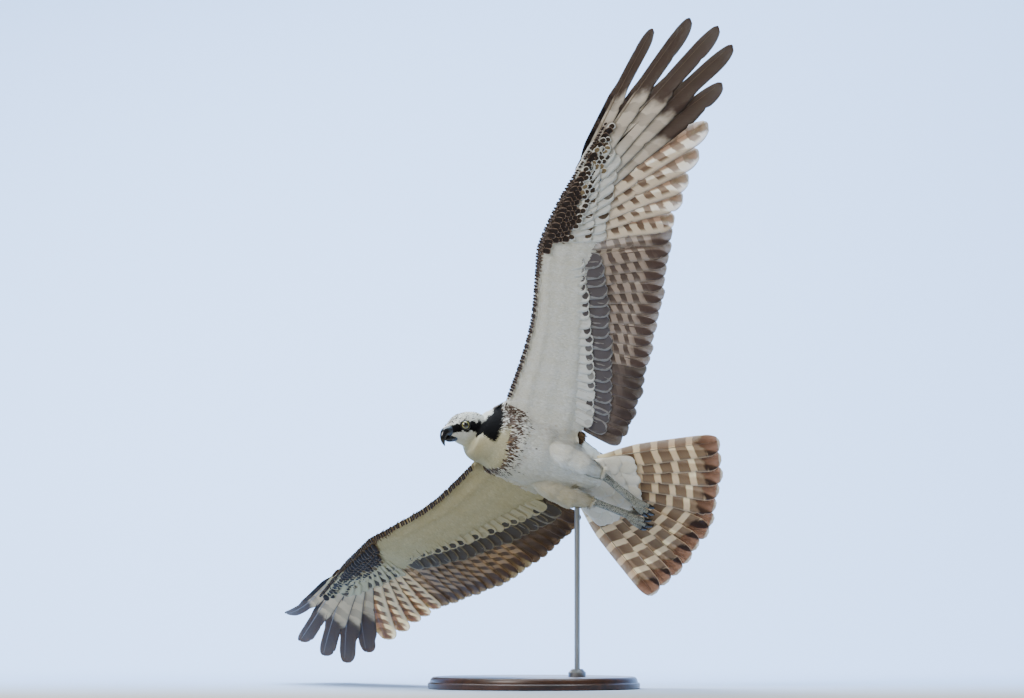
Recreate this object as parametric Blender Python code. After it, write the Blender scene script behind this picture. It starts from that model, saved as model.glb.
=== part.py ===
"""A life-size osprey banking in flight, held by one rod on a round display base.

The bird is modelled in its own frame: +X towards the head, +Y to its left, +Z out of its back. The origin is
midway between the front corners of the wing roots. An empty then banks the bird on the stand. Lengths are in
metres.
"""

import math

import bmesh
import bpy
from mathutils import Matrix, Vector

# Clearances and thicknesses
GAP = 0.0003
CUT_GAP = 0.00035
VANE_THICK = 0.0006

# Where the bird sits above the floor, and how it is banked
SHOULDER_AT = Vector((-0.082, -0.060, 0.462))
BIRD_FORWARD = Vector((-0.9033, -0.2663, 0.3363))
BIRD_LEFT = Vector((0.4218, -0.4093, 0.8090))

# Torso: distance ahead of the shoulders, half width, back height, belly height
TORSO_SECTIONS = (
    (-0.004, 0.057, 0.036, -0.073),
    (-0.020, 0.063, 0.040, -0.078),
    (-0.040, 0.066, 0.042, -0.081),
    (-0.085, 0.066, 0.043, -0.079),
    (-0.130, 0.058, 0.040, -0.070),
    (-0.170, 0.048, 0.034, -0.057),
    (-0.205, 0.038, 0.026, -0.045),
    (-0.235, 0.026, 0.014, -0.034),
    (-0.248, 0.014, 0.004, -0.026),
)
TORSO_SIDES = 20
SECTION_POWER = 2.2

# Head frame: origin midway between the eyes
HEAD_AT = Vector((0.060, 0.0, -0.033))
HEAD_FORWARD = Vector((0.762, -0.120, -0.634))
HEAD_UP = Vector((0.517, 0.700, 0.488))
HEAD_SECTIONS = (
    (-0.030, 0.0290, 0.0265, -0.043),
    (-0.016, 0.0285, 0.0280, -0.038),
    (0.000, 0.0262, 0.0265, -0.029),
    (0.013, 0.0205, 0.0205, -0.0225),
    (0.023, 0.0145, 0.0140, -0.0185),
    (0.029, 0.0100, 0.0085, -0.0150),
)
HEAD_SIDES = 20
# Neck and ruff, bent a little to the right: ahead of the shoulders, aside, half width, top, bottom
RUFF_SECTIONS = (
    (0.016, -0.009, 0.047, 0.018, -0.074),
    (0.030, -0.011, 0.037, 0.004, -0.067),
)
RUFF_LAP = 0.004
RUFF_INSET = 0.001
EYE_AT = Vector((0.0035, 0.0190, 0.0035))
EYE_RADIUS = 0.0096
LID_RADIUS = 0.0087
LID_TUBE = 0.0016
BROW_AT = Vector((0.003, 0.0205, 0.0125))
BROW_HALF = Vector((0.0125, 0.0040, 0.0026))

# Bill: place along and above the head's axis, half width, half height
BILL_SECTIONS = (
    (0.0195, -0.0010, 0.0112, 0.0108),
    (0.0262, -0.0002, 0.0102, 0.0104),
    (0.0328, -0.0006, 0.0088, 0.0096),
    (0.0385, -0.0032, 0.0070, 0.0084),
    (0.0432, -0.0084, 0.0052, 0.0066),
    (0.0454, -0.0146, 0.0035, 0.0047),
    (0.0452, -0.0203, 0.0019, 0.0027),
    (0.0437, -0.0250, 0.0006, 0.0007),
)
MANDIBLE_SECTIONS = (
    (0.0150, -0.0140, 0.0100, 0.0060),
    (0.0222, -0.0142, 0.0088, 0.0060),
    (0.0292, -0.0142, 0.0068, 0.0054),
    (0.0350, -0.0138, 0.0046, 0.0042),
    (0.0388, -0.0132, 0.0024, 0.0024),
)
BILL_SIDES = 14
NOSTRIL_AT = Vector((0.0285, 0.0090, 0.0018))
NOSTRIL_HALF = Vector((0.0026, 0.0030, 0.0011))
GAPE_FROM = Vector((0.028, 0.0, -0.0112))
GAPE_TO = Vector((0.004, 0.0, -0.0150))
GAPE_TALL = 0.0009

# Wing plan: ahead of the shoulders, out from the midline
WING_ROOT_OUT = 0.068
HAND_FROM_OUT = 0.378
HAND_END_OUT = 0.545
LEADING_EDGE = (
    (0.030, -0.004),
    (0.068, 0.000),
    (0.160, 0.006),
    (0.226, 0.017),
    (0.309, 0.044),
    (0.350, 0.057),
    (0.431, 0.055),
    (0.504, 0.044),
    (0.598, 0.029),
)
CORE_BACK = (
    (0.030, -0.150),
    (0.068, -0.150),
    (0.160, -0.118),
    (0.226, -0.094),
    (0.309, -0.062),
    (0.350, -0.046),
    (0.400, -0.036),
    (0.460, -0.012),
    (0.510, 0.010),
    (0.545, 0.026),
)
CORE_THICK = (
    (0.030, 0.030),
    (0.068, 0.027),
    (0.160, 0.021),
    (0.309, 0.016),
    (0.350, 0.015),
    (0.460, 0.010),
    (0.545, 0.0062),
)
CORE_BACK_THICK = 0.0072
CORE_LOW_SHARE = 0.55
TRAILING_EDGE = (
    (0.060, -0.226),
    (0.110, -0.231),
    (0.189, -0.224),
    (0.319, -0.199),
    (0.396, -0.181),
    (0.445, -0.171),
)
CHORD_CAMBER = 0.010
CAMBER_CHORD = 0.23

# Primaries, outermost first: the tips in plan, and the share of each that is narrowed to a finger
PRIMARY_TIPS = (
    (0.009, 0.786),
    (-0.045, 0.829),
    (-0.098, 0.835),
    (-0.134, 0.814),
    (-0.143, 0.744),
    (-0.146, 0.669),
    (-0.150, 0.617),
    (-0.150, 0.569),
    (-0.154, 0.533),
    (-0.156, 0.491),
    (-0.162, 0.467),
)
FINGER_FROM = (0.30, 0.48, 0.55, 0.62, 0.72)
FINGER_WIDTHS = (0.0175, 0.0235, 0.0245, 0.0250, 0.0285)
PRIMARY_WIDTH = 0.041
OUTER_PRIMARY_WIDTH = 0.027
PRIMARY_ROOT_OUT = (0.492, 0.386)
PRIMARY_ROOT_AHEAD = (0.036, 0.002)
SECONDARY_COUNT = 17
SECONDARY_ROOT_OUT = (0.350, 0.088)
SECONDARY_TIP_OUT = (0.444, 0.076)
SECONDARY_WIDTH = 0.037
TERTIAL_WIDTH = 0.034
OUTER_SHARE = 0.32
FLIGHT_TILT = 0.058
COVERT_TILT = 0.050
UNDER_COVERT_LOW = 0.0031
UPPER_COVERT_HIGH = 0.0024
ARM_COVERTS = 12
HAND_COVERTS = 7
ALULA_LENGTHS = (0.088, 0.074, 0.060)

# How each wing is held: sweep, rise of arm and hand, nose-up pitch of arm and hand, in degrees
WING_POSES = {
    "left": {"side": 1, "sweep": 0.0, "arm": 15.4, "hand": 17.2, "arm_pitch": 2.3, "hand_pitch": 1.4},
    "right": {"side": -1, "sweep": 4.4, "arm": 19.0, "hand": 35.3, "arm_pitch": 3.6, "hand_pitch": -2.6},
}
TIP_CURL = {
    "left": (0.012, 0.008, 0.006, 0.004, 0.003, 0.002, 0.001, 0.0, 0.0, 0.0, 0.0),
    "right": (0.040, 0.021, 0.014, 0.006, 0.004, 0.002, 0.0, 0.0, 0.0, 0.0, 0.0),
}
BEND_FROM_OUT = 0.290
BEND_TO_OUT = 0.400

# Tail fan: the point its feathers spread from, how far round it they reach, and how it hangs and swings
FAN_AT = Vector((-0.1351, -0.0180, -0.0039))
FAN_HALF_ANGLE = math.radians(32.3)
FAN_ROOT = 0.060
FAN_TIP = 0.305
TAIL_DROOP = math.radians(12.0)
TAIL_SWING = math.radians(4.3)
RECTRIX_COUNT = 12
RECTRIX_WIDTH = 0.041
RECTRIX_OPEN_FROM = 0.095
RECTRIX_OPEN_OVER = 0.050
RECTRIX_TILT = 0.075
TAIL_CORE = (
    (0.050, 0.0260, 0.0240),
    (0.068, 0.0370, 0.0200),
    (0.090, 0.0500, 0.0150),
    (0.112, 0.0620, 0.0105),
    (0.130, 0.0700, 0.0080),
)
TAIL_COVERTS = 7
TAIL_COVERT_ROOT = 0.100
TAIL_COVERT_TIP = 0.175

# Legs: joints, and radii at hip, knee, ankle and foot
LEG_JOINTS = {
    "left": (
        Vector((-0.105, 0.034, -0.052)),
        Vector((-0.158, 0.036, -0.064)),
        Vector((-0.208, 0.024, -0.055)),
        Vector((-0.2745, 0.0065, -0.071)),
    ),
    "right": (
        Vector((-0.110, -0.036, -0.052)),
        Vector((-0.165, -0.040, -0.062)),
        Vector((-0.216, -0.032, -0.056)),
        Vector((-0.2822, -0.0265, -0.069)),
    ),
}
THIGH_RADII = (0.024, 0.021, 0.0085)
TARSUS_RADII = (0.0080, 0.0068, 0.0064, 0.0072)
# Toes: which way round the foot, splay, first slant towards the sole, length, curl, talon length, talon curl
TOES = (
    ("inner", 1, 9.0, 58.0, 0.032, 40.0, 0.025, 84.0),
    ("middle", 1, -4.0, 61.0, 0.037, 36.0, 0.025, 80.0),
    ("outer", 1, -19.0, 58.0, 0.033, 42.0, 0.024, 84.0),
    ("hind", -1, 8.0, 36.0, 0.025, 32.0, 0.024, 60.0),
)
TOE_RADII = (0.0050, 0.0043, 0.0048, 0.0038, 0.0036)
TALON_RADIUS = 0.0033

# Stand
BASE_RADIUS = 0.190
BASE_TALL = 0.022
BASE_ROUND = 0.006
BASE_ROUND_STEPS = 3
ROD_RADIUS = 0.005
ROD_BODY_POINT = Vector((-0.1900, -0.0350, -0.0320))
ROD_REACH = 0.018
COLLAR_RADIUS = 0.016
COLLAR_TALL = 0.014

COLOURS = {
    "plumage_white": ((0.82, 0.80, 0.74), 0.85, 0.0),
    "plumage_brown": ((0.17, 0.12, 0.09), 0.80, 0.0),
    "plumage_barred": ((0.45, 0.36, 0.28), 0.80, 0.0),
    "bill_horn": ((0.035, 0.038, 0.045), 0.35, 0.0),
    "eye_yellow": ((0.75, 0.62, 0.12), 0.10, 0.0),
    "leg_scale": ((0.52, 0.57, 0.55), 0.60, 0.0),
    "talon_horn": ((0.02, 0.02, 0.022), 0.30, 0.0),
    "base_wood": ((0.12, 0.075, 0.045), 0.40, 0.0),
    "rod_steel": ((0.62, 0.62, 0.63), 0.30, 1.0),
}


def clear_scene():
    """Removes whatever the scene starts with."""
    for thing in list(bpy.data.objects):
        bpy.data.objects.remove(thing)


def material(name):
    """The Principled material of that name, made once."""
    made = bpy.data.materials.get(name)
    if made:
        return made
    colour, roughness, metallic = COLOURS[name]
    made = bpy.data.materials.new(name)
    made.use_nodes = True
    shader = made.node_tree.nodes["Principled BSDF"]
    shader.inputs["Base Color"].default_value = (*colour, 1.0)
    shader.inputs["Roughness"].default_value = roughness
    shader.inputs["Metallic"].default_value = metallic
    return made


def between(points, at):
    """A smooth value at a place along a short table of (place, value) pairs."""
    if at <= points[0][0]:
        return points[0][1]
    if at >= points[-1][0]:
        return points[-1][1]
    last = len(points) - 1
    for i in range(last):
        if at <= points[i + 1][0]:
            break
    (x1, y1), (x2, y2) = points[i], points[i + 1]
    x0, y0 = points[max(i - 1, 0)]
    x3, y3 = points[min(i + 2, last)]
    slope = (y2 - y1) / (x2 - x1)
    start = (y2 - y0) / (x2 - x0) if i > 0 else slope
    end = (y3 - y1) / (x3 - x1) if i + 2 <= last else slope
    span = x2 - x1
    t = (at - x1) / span
    blend = t * t * (3 - 2 * t)
    bow = (t - 2 * t * t + t**3) * start + (t**3 - t * t) * end
    return y1 + (y2 - y1) * blend + bow * span


def mix(a, b, share):
    """The value a share of the way from a to b."""
    return a + (b - a) * share


def new_object(name, points, faces, finish):
    """A mesh object in the scene, with its material."""
    mesh = bpy.data.meshes.new(name)
    mesh.from_pydata([tuple(p) for p in points], [], faces)
    mesh.materials.append(material(finish))
    made = bpy.data.objects.new(name, mesh)
    bpy.context.scene.collection.objects.link(made)
    return made


def loft(name, rings, finish):
    """A closed skin over rings of points, each with as many points, with a fan of triangles over each end."""
    sides = len(rings[0])
    points = [p for ring in rings for p in ring]
    faces = []
    for r in range(len(rings) - 1):
        for k in range(sides):
            a, b = r * sides + k, r * sides + (k + 1) % sides
            c, d = a + sides, b + sides
            faces += [(a, b, d), (a, d, c)]
    for r, turned in ((0, True), (len(rings) - 1, False)):
        centre = sum(rings[r], Vector()) / sides
        points.append(centre)
        hub = len(points) - 1
        for k in range(sides):
            a, b = r * sides + k, r * sides + (k + 1) % sides
            faces.append((hub, b, a) if turned else (hub, a, b))
    made = new_object(name, points, faces, finish)
    face_outwards(made.data)
    return made


def face_outwards(mesh):
    """Turns every face of a closed mesh to point out."""
    shape = bmesh.new()
    shape.from_mesh(mesh)
    bmesh.ops.recalc_face_normals(shape, faces=shape.faces)
    if shape.calc_volume(signed=True) < 0:
        bmesh.ops.reverse_faces(shape, faces=shape.faces)
    shape.to_mesh(mesh)
    shape.free()


def oval(centre, across, up, half_width, top, bottom, sides, power=SECTION_POWER):
    """One ring of points: a rounded section, with its own height above and below its centre line."""
    ring = []
    for k in range(sides):
        turn = 2 * math.pi * k / sides
        c, s = math.cos(turn), math.sin(turn)
        wide = half_width * math.copysign(abs(c) ** (2 / power), c)
        tall = (top if s > 0 else -bottom) * math.copysign(abs(s) ** (2 / power), s)
        ring.append(centre + across * wide + up * tall)
    return ring


def tube_rings(path, radii, sides, starts=None, ends=None):
    """Round rings along a path of points, each square to the path, or to a direction given for either end."""
    rings = []
    side = None
    for i, (at, radius) in enumerate(zip(path, radii)):
        ahead = (path[min(i + 1, len(path) - 1)] - path[max(i - 1, 0)]).normalized()
        if starts and i == 0:
            ahead = starts
        if ends and i == len(path) - 1:
            ahead = ends
        if side is None:
            side = ahead.orthogonal().normalized()
        side = (side - ahead * side.dot(ahead)).normalized()
        up = ahead.cross(side)
        ring = []
        for k in range(sides):
            turn = 2 * math.pi * k / sides
            ring.append(at + side * (radius * math.cos(turn)) + up * (radius * math.sin(turn)))
        rings.append(ring)
    return rings


def applied(thing, modifier):
    """Puts a modifier's result into the object's own mesh."""
    bpy.context.view_layer.update()
    graph = bpy.context.evaluated_depsgraph_get()
    result = bpy.data.meshes.new_from_object(thing.evaluated_get(graph))
    thing.modifiers.remove(modifier)
    thing.data = result
    return thing


def keep_largest(thing):
    """Leaves only the largest closed surface of an object, as triangles."""
    shape = bmesh.new()
    shape.from_mesh(thing.data)
    bmesh.ops.triangulate(shape, faces=shape.faces)
    shape.faces.ensure_lookup_table()
    unseen = set(shape.faces)
    groups = []
    while unseen:
        first = unseen.pop()
        group, edge = [first], [first]
        while edge:
            face = edge.pop()
            for side in face.edges:
                for other in side.link_faces:
                    if other in unseen:
                        unseen.discard(other)
                        group.append(other)
                        edge.append(other)
        groups.append(group)
    biggest = max(groups, key=lambda group: sum(face.calc_area() for face in group))
    dropped = [face for group in groups if group is not biggest for face in group]
    bmesh.ops.delete(shape, geom=dropped, context="FACES")
    shape.to_mesh(thing.data)
    shape.free()
    return thing


def joined(base, pieces, operation="UNION", solver="EXACT"):
    """The base with every piece fused to it, or cut from it, by one Boolean on a collection."""
    group = bpy.data.collections.new("pieces")
    bpy.context.scene.collection.children.link(group)
    for piece in pieces:
        bpy.context.scene.collection.objects.unlink(piece)
        group.objects.link(piece)
    step = base.modifiers.new("joined", "BOOLEAN")
    step.operation = operation
    step.operand_type = "COLLECTION"
    step.solver = solver
    step.collection = group
    applied(base, step)
    for piece in pieces:
        bpy.data.objects.remove(piece)
    bpy.data.collections.remove(group)
    return keep_largest(base)


def torso_rings(grow=0.0):
    """The torso's sections from neck to vent, grown all round where it is to cut its neighbours."""
    rings = []
    last = len(TORSO_SECTIONS) - 1
    for i, (ahead, half, top, bottom) in enumerate(TORSO_SECTIONS):
        shift = grow if i == 0 else -grow if i == last else 0.0
        centre = Vector((ahead + shift, 0, (top + bottom) / 2))
        tall = (top - bottom) / 2 + grow
        across = Vector((0, 1, 0))
        rings.append(oval(centre, across, Vector((0, 0, 1)), half + grow, tall, -tall, TORSO_SIDES))
    return rings


def head_matrix():
    """Head frame to bird frame."""
    ahead = HEAD_FORWARD.normalized()
    left = HEAD_UP.cross(ahead).normalized()
    up = ahead.cross(left)
    made = Matrix((ahead, left, up)).transposed().to_4x4()
    made.translation = HEAD_AT
    return made


def head_rings(grow=0.0):
    """The head's sections from nape to forehead, in the bird's frame."""
    frame = head_matrix()
    rings = []
    last = len(HEAD_SECTIONS) - 1
    for i, (ahead, half, top, bottom) in enumerate(HEAD_SECTIONS):
        shift = -grow if i == 0 else grow if i == last else 0.0
        centre = Vector((ahead + shift, 0, 0))
        across, up = Vector((0, 1, 0)), Vector((0, 0, 1))
        ring = oval(centre, across, up, half + grow, top + grow, bottom - grow, HEAD_SIDES)
        rings.append([frame @ p for p in ring])
    return rings


def ball(name, centre, radius, finish, frame=None, half=None, rows=8, sides=14):
    """A sphere, or an ellipsoid when half gives its half sizes, placed in a frame."""
    frame = frame or Matrix.Identity(4)
    half = half or Vector((radius, radius, radius))
    rings = []
    for r in range(1, rows):
        polar = math.pi * r / rows
        z, wide = math.cos(polar), math.sin(polar)
        ring = []
        for k in range(sides):
            turn = 2 * math.pi * k / sides
            spot = Vector((wide * math.cos(turn) * half.x, wide * math.sin(turn) * half.y, z * half.z))
            ring.append(frame @ (centre + spot))
        rings.append(ring)
    points = [p for ring in rings for p in ring]
    top, bottom = len(points), len(points) + 1
    points += [frame @ (centre + Vector((0, 0, half.z))), frame @ (centre - Vector((0, 0, half.z)))]
    faces = []
    for r in range(len(rings) - 1):
        for k in range(sides):
            a, b = r * sides + k, r * sides + (k + 1) % sides
            faces += [(a, b, b + sides), (a, b + sides, a + sides)]
    for k in range(sides):
        faces.append((top, (k + 1) % sides, k))
        low = (len(rings) - 1) * sides
        faces.append((bottom, low + k, low + (k + 1) % sides))
    made = new_object(name, points, faces, finish)
    face_outwards(made.data)
    return made


def eye_centre(side):
    """The middle of an eye in the head's frame."""
    return Vector((EYE_AT.x, EYE_AT.y * side, EYE_AT.z))


def lid_ring(side):
    """The raised rim of lids round an eye."""
    frame = head_matrix()
    out = Vector((0.45, side * 0.89, 0.05)).normalized()
    right = out.cross(Vector((0, 0, 1))).normalized()
    up = right.cross(out)
    middle = eye_centre(side) + out * (EYE_RADIUS * 0.50)
    path_sides, tube_sides = 16, 6
    points, faces = [], []
    for i in range(path_sides):
        turn = 2 * math.pi * i / path_sides
        radial = right * math.cos(turn) + up * math.sin(turn)
        for k in range(tube_sides):
            around = 2 * math.pi * k / tube_sides
            reach = LID_RADIUS + LID_TUBE * math.cos(around)
            points.append(frame @ (middle + radial * reach + out * (LID_TUBE * math.sin(around))))
    for i in range(path_sides):
        for k in range(tube_sides):
            a, b = i * tube_sides + k, i * tube_sides + (k + 1) % tube_sides
            c = (i + 1) % path_sides * tube_sides + k
            d = (i + 1) % path_sides * tube_sides + (k + 1) % tube_sides
            faces += [(a, b, d), (a, d, c)]
    made = new_object("lid", points, faces, "plumage_brown")
    face_outwards(made.data)
    return made


def gape_groove(side):
    """A thin cutter for the line of the mouth where it runs back into the cheek."""
    frame = head_matrix()
    outer = 0.030
    inner = {GAPE_FROM.x: 0.0085, GAPE_TO.x: 0.0225}
    points = []
    for spot in (GAPE_FROM, GAPE_TO):
        for reach in (inner[spot.x], outer):
            for rise in (-GAPE_TALL / 2, GAPE_TALL / 2):
                points.append(frame @ Vector((spot.x, side * reach, spot.z + rise)))
    faces = [(0, 1, 3, 2), (4, 6, 7, 5), (0, 4, 5, 1), (2, 3, 7, 6), (0, 2, 6, 4), (1, 5, 7, 3)]
    made = new_object("gape", points, faces, "plumage_brown")
    face_outwards(made.data)
    return made


def bill_rings(sections, grow=0.0):
    """Rings along a curved bill, each square to its own line."""
    frame = head_matrix()
    line = [Vector((ahead, 0, up)) for ahead, up, wide, tall in sections]
    rings = []
    for i, (ahead, up, wide, tall) in enumerate(sections):
        along = (line[min(i + 1, len(line) - 1)] - line[max(i - 1, 0)]).normalized()
        rise = Vector((0, 1, 0)).cross(along) * -1
        centre = line[i] - along * grow if i == 0 else line[i]
        ring = oval(centre, Vector((0, 1, 0)), rise, wide + grow, tall + grow, -tall - grow, BILL_SIDES, 2.0)
        rings.append([frame @ p for p in ring])
    return rings


def make_head():
    """Head, eyes, bill and their cuts."""
    frame = head_matrix()
    head = loft("head", head_rings(), "plumage_white")
    extras = [lid_ring(1), lid_ring(-1)]
    for side in (1, -1):
        at = Vector((BROW_AT.x, BROW_AT.y * side, BROW_AT.z))
        extras.append(ball("brow", at, 0, "plumage_brown", frame, BROW_HALF, 6, 10))
    joined(head, extras)
    cutters = [ball("socket", eye_centre(s), EYE_RADIUS + CUT_GAP, "eye_yellow", frame) for s in (1, -1)]
    cutters += [gape_groove(1), gape_groove(-1)]
    cutters.append(loft("bill_socket", bill_rings(BILL_SECTIONS, CUT_GAP), "bill_horn"))
    cutters.append(loft("mandible_socket", bill_rings(MANDIBLE_SECTIONS, CUT_GAP), "bill_horn"))
    joined(head, cutters, "DIFFERENCE")
    for side, word in ((1, "left"), (-1, "right")):
        ball("eye_" + word, eye_centre(side), EYE_RADIUS, "eye_yellow", frame)
    upper = loft("bill_upper", bill_rings(BILL_SECTIONS), "bill_horn")
    nostrils = []
    for side in (1, -1):
        at = Vector((NOSTRIL_AT.x, NOSTRIL_AT.y * side, NOSTRIL_AT.z))
        nostrils.append(ball("nostril", at, 0, "bill_horn", frame, NOSTRIL_HALF, 6, 8))
    joined(upper, nostrils, "DIFFERENCE")
    lower = loft("bill_lower", bill_rings(MANDIBLE_SECTIONS), "bill_horn")
    joined(lower, [loft("bill_grown", bill_rings(BILL_SECTIONS, CUT_GAP), "bill_horn")], "DIFFERENCE")
    return head


def neck_halves(name="neck", grow=0.0):
    """The two halves of the short neck: from the torso's front face to the ruff, and over it to the head."""
    frame = head_matrix()
    across, up = Vector((0, 1, 0)), Vector((0, 0, 1))
    front = TORSO_SECTIONS[0][0] + GAP - grow
    low_half = [Vector((front, p.y, p.z)) for p in torso_rings(grow)[0]]
    (ahead, aside, half, top, bottom), fore = RUFF_SECTIONS
    centre = Vector((ahead, aside, 0))
    low_half += oval(centre, across, up, half + grow, top + grow, bottom - grow, TORSO_SIDES)
    centre.x -= RUFF_LAP
    thin = grow - RUFF_INSET
    high_half = oval(centre, across, up, half + thin, top + thin, bottom - thin, TORSO_SIDES)
    ahead, aside, half, top, bottom = fore
    centre = Vector((ahead, aside, 0))
    high_half += oval(centre, across, up, half + grow, top + grow, bottom - grow, TORSO_SIDES)
    for ahead, half, top, bottom in HEAD_SECTIONS[:2]:
        ring = oval(Vector((ahead, 0, 0)), across, up, half + grow, top + grow, bottom - grow, HEAD_SIDES)
        high_half += [frame @ p for p in ring]
    return [hull_over(name, low_half), hull_over(name, high_half)]


def hull_over(name, points):
    """The smallest closed form without hollows over some points."""
    shape = bmesh.new()
    corners = [shape.verts.new(p) for p in points]
    hull = bmesh.ops.convex_hull(shape, input=corners)
    inner = [piece for piece in hull["geom_interior"] if isinstance(piece, bmesh.types.BMVert)]
    bmesh.ops.delete(shape, geom=inner, context="VERTS")
    mesh = bpy.data.meshes.new(name)
    shape.to_mesh(mesh)
    shape.free()
    mesh.materials.append(material("plumage_white"))
    made = bpy.data.objects.new(name, mesh)
    bpy.context.scene.collection.objects.link(made)
    face_outwards(mesh)
    return made


def grown_body():
    """The torso and the neck, both a little fatter, as cutters for what grows from them."""
    torso = loft("torso_grown", torso_rings(CUT_GAP), "plumage_white")
    return [torso, *neck_halves("neck_grown", CUT_GAP)]


def place(pose, ahead, out, high):
    """A point of the wing's flat plan, and its height over it, carried to the posed wing."""
    turn = math.radians(pose["sweep"])
    dx, ds = ahead, out - WING_ROOT_OUT
    ahead = dx * math.cos(turn) + ds * math.sin(turn)
    along = -dx * math.sin(turn) + ds * math.cos(turn)
    arm, hand = math.radians(pose["arm"]), math.radians(pose["hand"])
    start, end = BEND_FROM_OUT - WING_ROOT_OUT, BEND_TO_OUT - WING_ROOT_OUT
    curve = (hand - arm) / (end - start)
    share = min(max((along - start) / (end - start), 0.0), 1.0)
    rise = mix(arm, hand, share)
    straight = min(along, start)
    y = straight * math.cos(arm) + (math.sin(rise) - math.sin(arm)) / curve
    z = straight * math.sin(arm) - (math.cos(rise) - math.cos(arm)) / curve
    beyond = max(along - end, 0.0)
    y += beyond * math.cos(hand) - high * math.sin(rise)
    z += beyond * math.sin(hand) + high * math.cos(rise)
    pitch = math.radians(mix(pose["arm_pitch"], pose["hand_pitch"], share))
    z += ahead * math.tan(pitch)
    behind = max(0.0, between(LEADING_EDGE, out) - ahead) / CAMBER_CHORD
    z -= CHORD_CAMBER * behind * behind
    return Vector((ahead, pose["side"] * (WING_ROOT_OUT + y), z))


def vane(name, pose, root, tip, widths, height, tilt, curl=0.0, bow=0.0, finish="plumage_barred", steps=4):
    """One feather's blade: a thin closed strip along a bowed shaft, higher on its outer edge.

    root and tip are places in plan; widths(share) gives the reach of the outer and inner edge.
    """
    root, tip = Vector(root), Vector(tip)
    line = tip - root
    across = Vector((line.y, -line.x)).normalized()
    if across.x < 0:
        across = -across
    points = []
    for i in range(steps + 1):
        t = i / steps
        centre = root + line * t + across * (bow * 4 * t * (1 - t))
        outer, inner = widths(t)
        lift = curl * max(0.0, (t - 0.35) / 0.65) ** 2
        half = VANE_THICK / 2
        for reach in (outer, -inner):
            spot = centre + across * reach
            for level in (half, -half):
                points.append(place(pose, spot.x, spot.y, height + tilt * reach + lift + level))
    return blade(name, points, steps, finish)


def blade(name, points, steps, finish):
    """A thin closed strip over four points a step: the outer edge's top and bottom, then the inner edge's."""
    faces = []
    for i in range(steps):
        a = i * 4
        b = a + 4
        faces += [(a, a + 2, b + 2), (a, b + 2, b)]
        faces += [(a + 1, b + 3, a + 3), (a + 1, b + 1, b + 3)]
        faces += [(a, b, b + 1), (a, b + 1, a + 1)]
        faces += [(a + 2, a + 3, b + 3), (a + 2, b + 3, b + 2)]
    end = steps * 4
    faces += [(0, 1, 3), (0, 3, 2), (end, end + 2, end + 3), (end, end + 3, end + 1)]
    made = new_object(name, points, faces, finish)
    face_outwards(made.data)
    return made


def rounded(width, outer_share, root_width=0.005, grow_by=0.22, blunt=0.80, tip_width=0.006):
    """Edge reaches of a round-ended feather: narrow at its root, full by grow_by, and closing past blunt."""

    def reach(t):
        full = mix(root_width, width, min(t / grow_by, 1.0))
        if t > blunt:
            end = (t - blunt) / (1 - blunt)
            full = mix(tip_width, full, math.sqrt(max(0.0, 1 - end * end)))
        return full * outer_share, full * (1 - outer_share)

    return reach


def fingered(width, finger, start, outer_share, root_width=0.005):
    """Edge reaches of an outer primary, whose inner web is cut away past start to leave a finger."""

    def reach(t):
        full = mix(root_width, width, min(t / 0.20, 1.0))
        fall = min(max((t - start) / 0.12, 0.0), 1.0)
        full = mix(full, finger, fall)
        if t > 0.78:
            end = (t - 0.78) / 0.22
            full = mix(0.004, full, math.sqrt(max(0.0, 1 - end * end)))
        return full * outer_share, full * (1 - outer_share)

    return reach


def core_rings(pose, first, last, steps, trim_first=0.0, trim_last=0.0):
    """Sections of the wing's flesh and small coverts between two places along the span."""
    rings = []
    lobes = (0.0, 0.06, 0.20, 0.45, 0.75, 1.0)
    fatness = (0.0, 0.62, 0.97, 1.0, 0.86, 0.0)
    for i in range(steps + 1):
        out = mix(first + trim_first, last - trim_last, i / steps)
        front, back = between(LEADING_EDGE, out), between(CORE_BACK, out)
        thick = between(CORE_THICK, out)
        ring = []
        for sign in (1, -1):
            order = range(1, len(lobes)) if sign > 0 else range(len(lobes) - 1, 0, -1)
            share = 1 - CORE_LOW_SHARE if sign > 0 else CORE_LOW_SHARE
            for k in order:
                body = max(thick * fatness[k] * share, CORE_BACK_THICK * share if k > 1 else 0)
                ring.append(place(pose, mix(front, back, lobes[k]), out, sign * body))
        ring.append(place(pose, front, out, 0.0))
        rings.append(ring)
    return rings


def secondary_places():
    """Root and tip of each secondary in plan, from the wrist to the body."""
    spots = []
    for i in range(SECONDARY_COUNT):
        t = i / (SECONDARY_COUNT - 1)
        root_out, tip_out = mix(*SECONDARY_ROOT_OUT, t), mix(*SECONDARY_TIP_OUT, t)
        root = (between(CORE_BACK, root_out) + 0.030, root_out)
        tip = (between(TRAILING_EDGE, tip_out), tip_out)
        spots.append((root, tip))
    return spots


def primary_places():
    """Root and tip of each primary in plan, outermost first."""
    spots = []
    for i, tip in enumerate(PRIMARY_TIPS):
        t = i / (len(PRIMARY_TIPS) - 1)
        spots.append(((mix(*PRIMARY_ROOT_AHEAD, t), mix(*PRIMARY_ROOT_OUT, t)), tip))
    return spots


def covert_between(spots, share, root_share, tip_share):
    """Root and tip of a covert that lies over the flight feathers, a share of the way through their row."""
    at = share * (len(spots) - 1)
    i = min(int(at), len(spots) - 2)
    root = Vector(spots[i][0]).lerp(Vector(spots[i + 1][0]), at - i)
    tip = Vector(spots[i][1]).lerp(Vector(spots[i + 1][1]), at - i)
    return root.lerp(tip, root_share), root.lerp(tip, tip_share)


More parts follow.
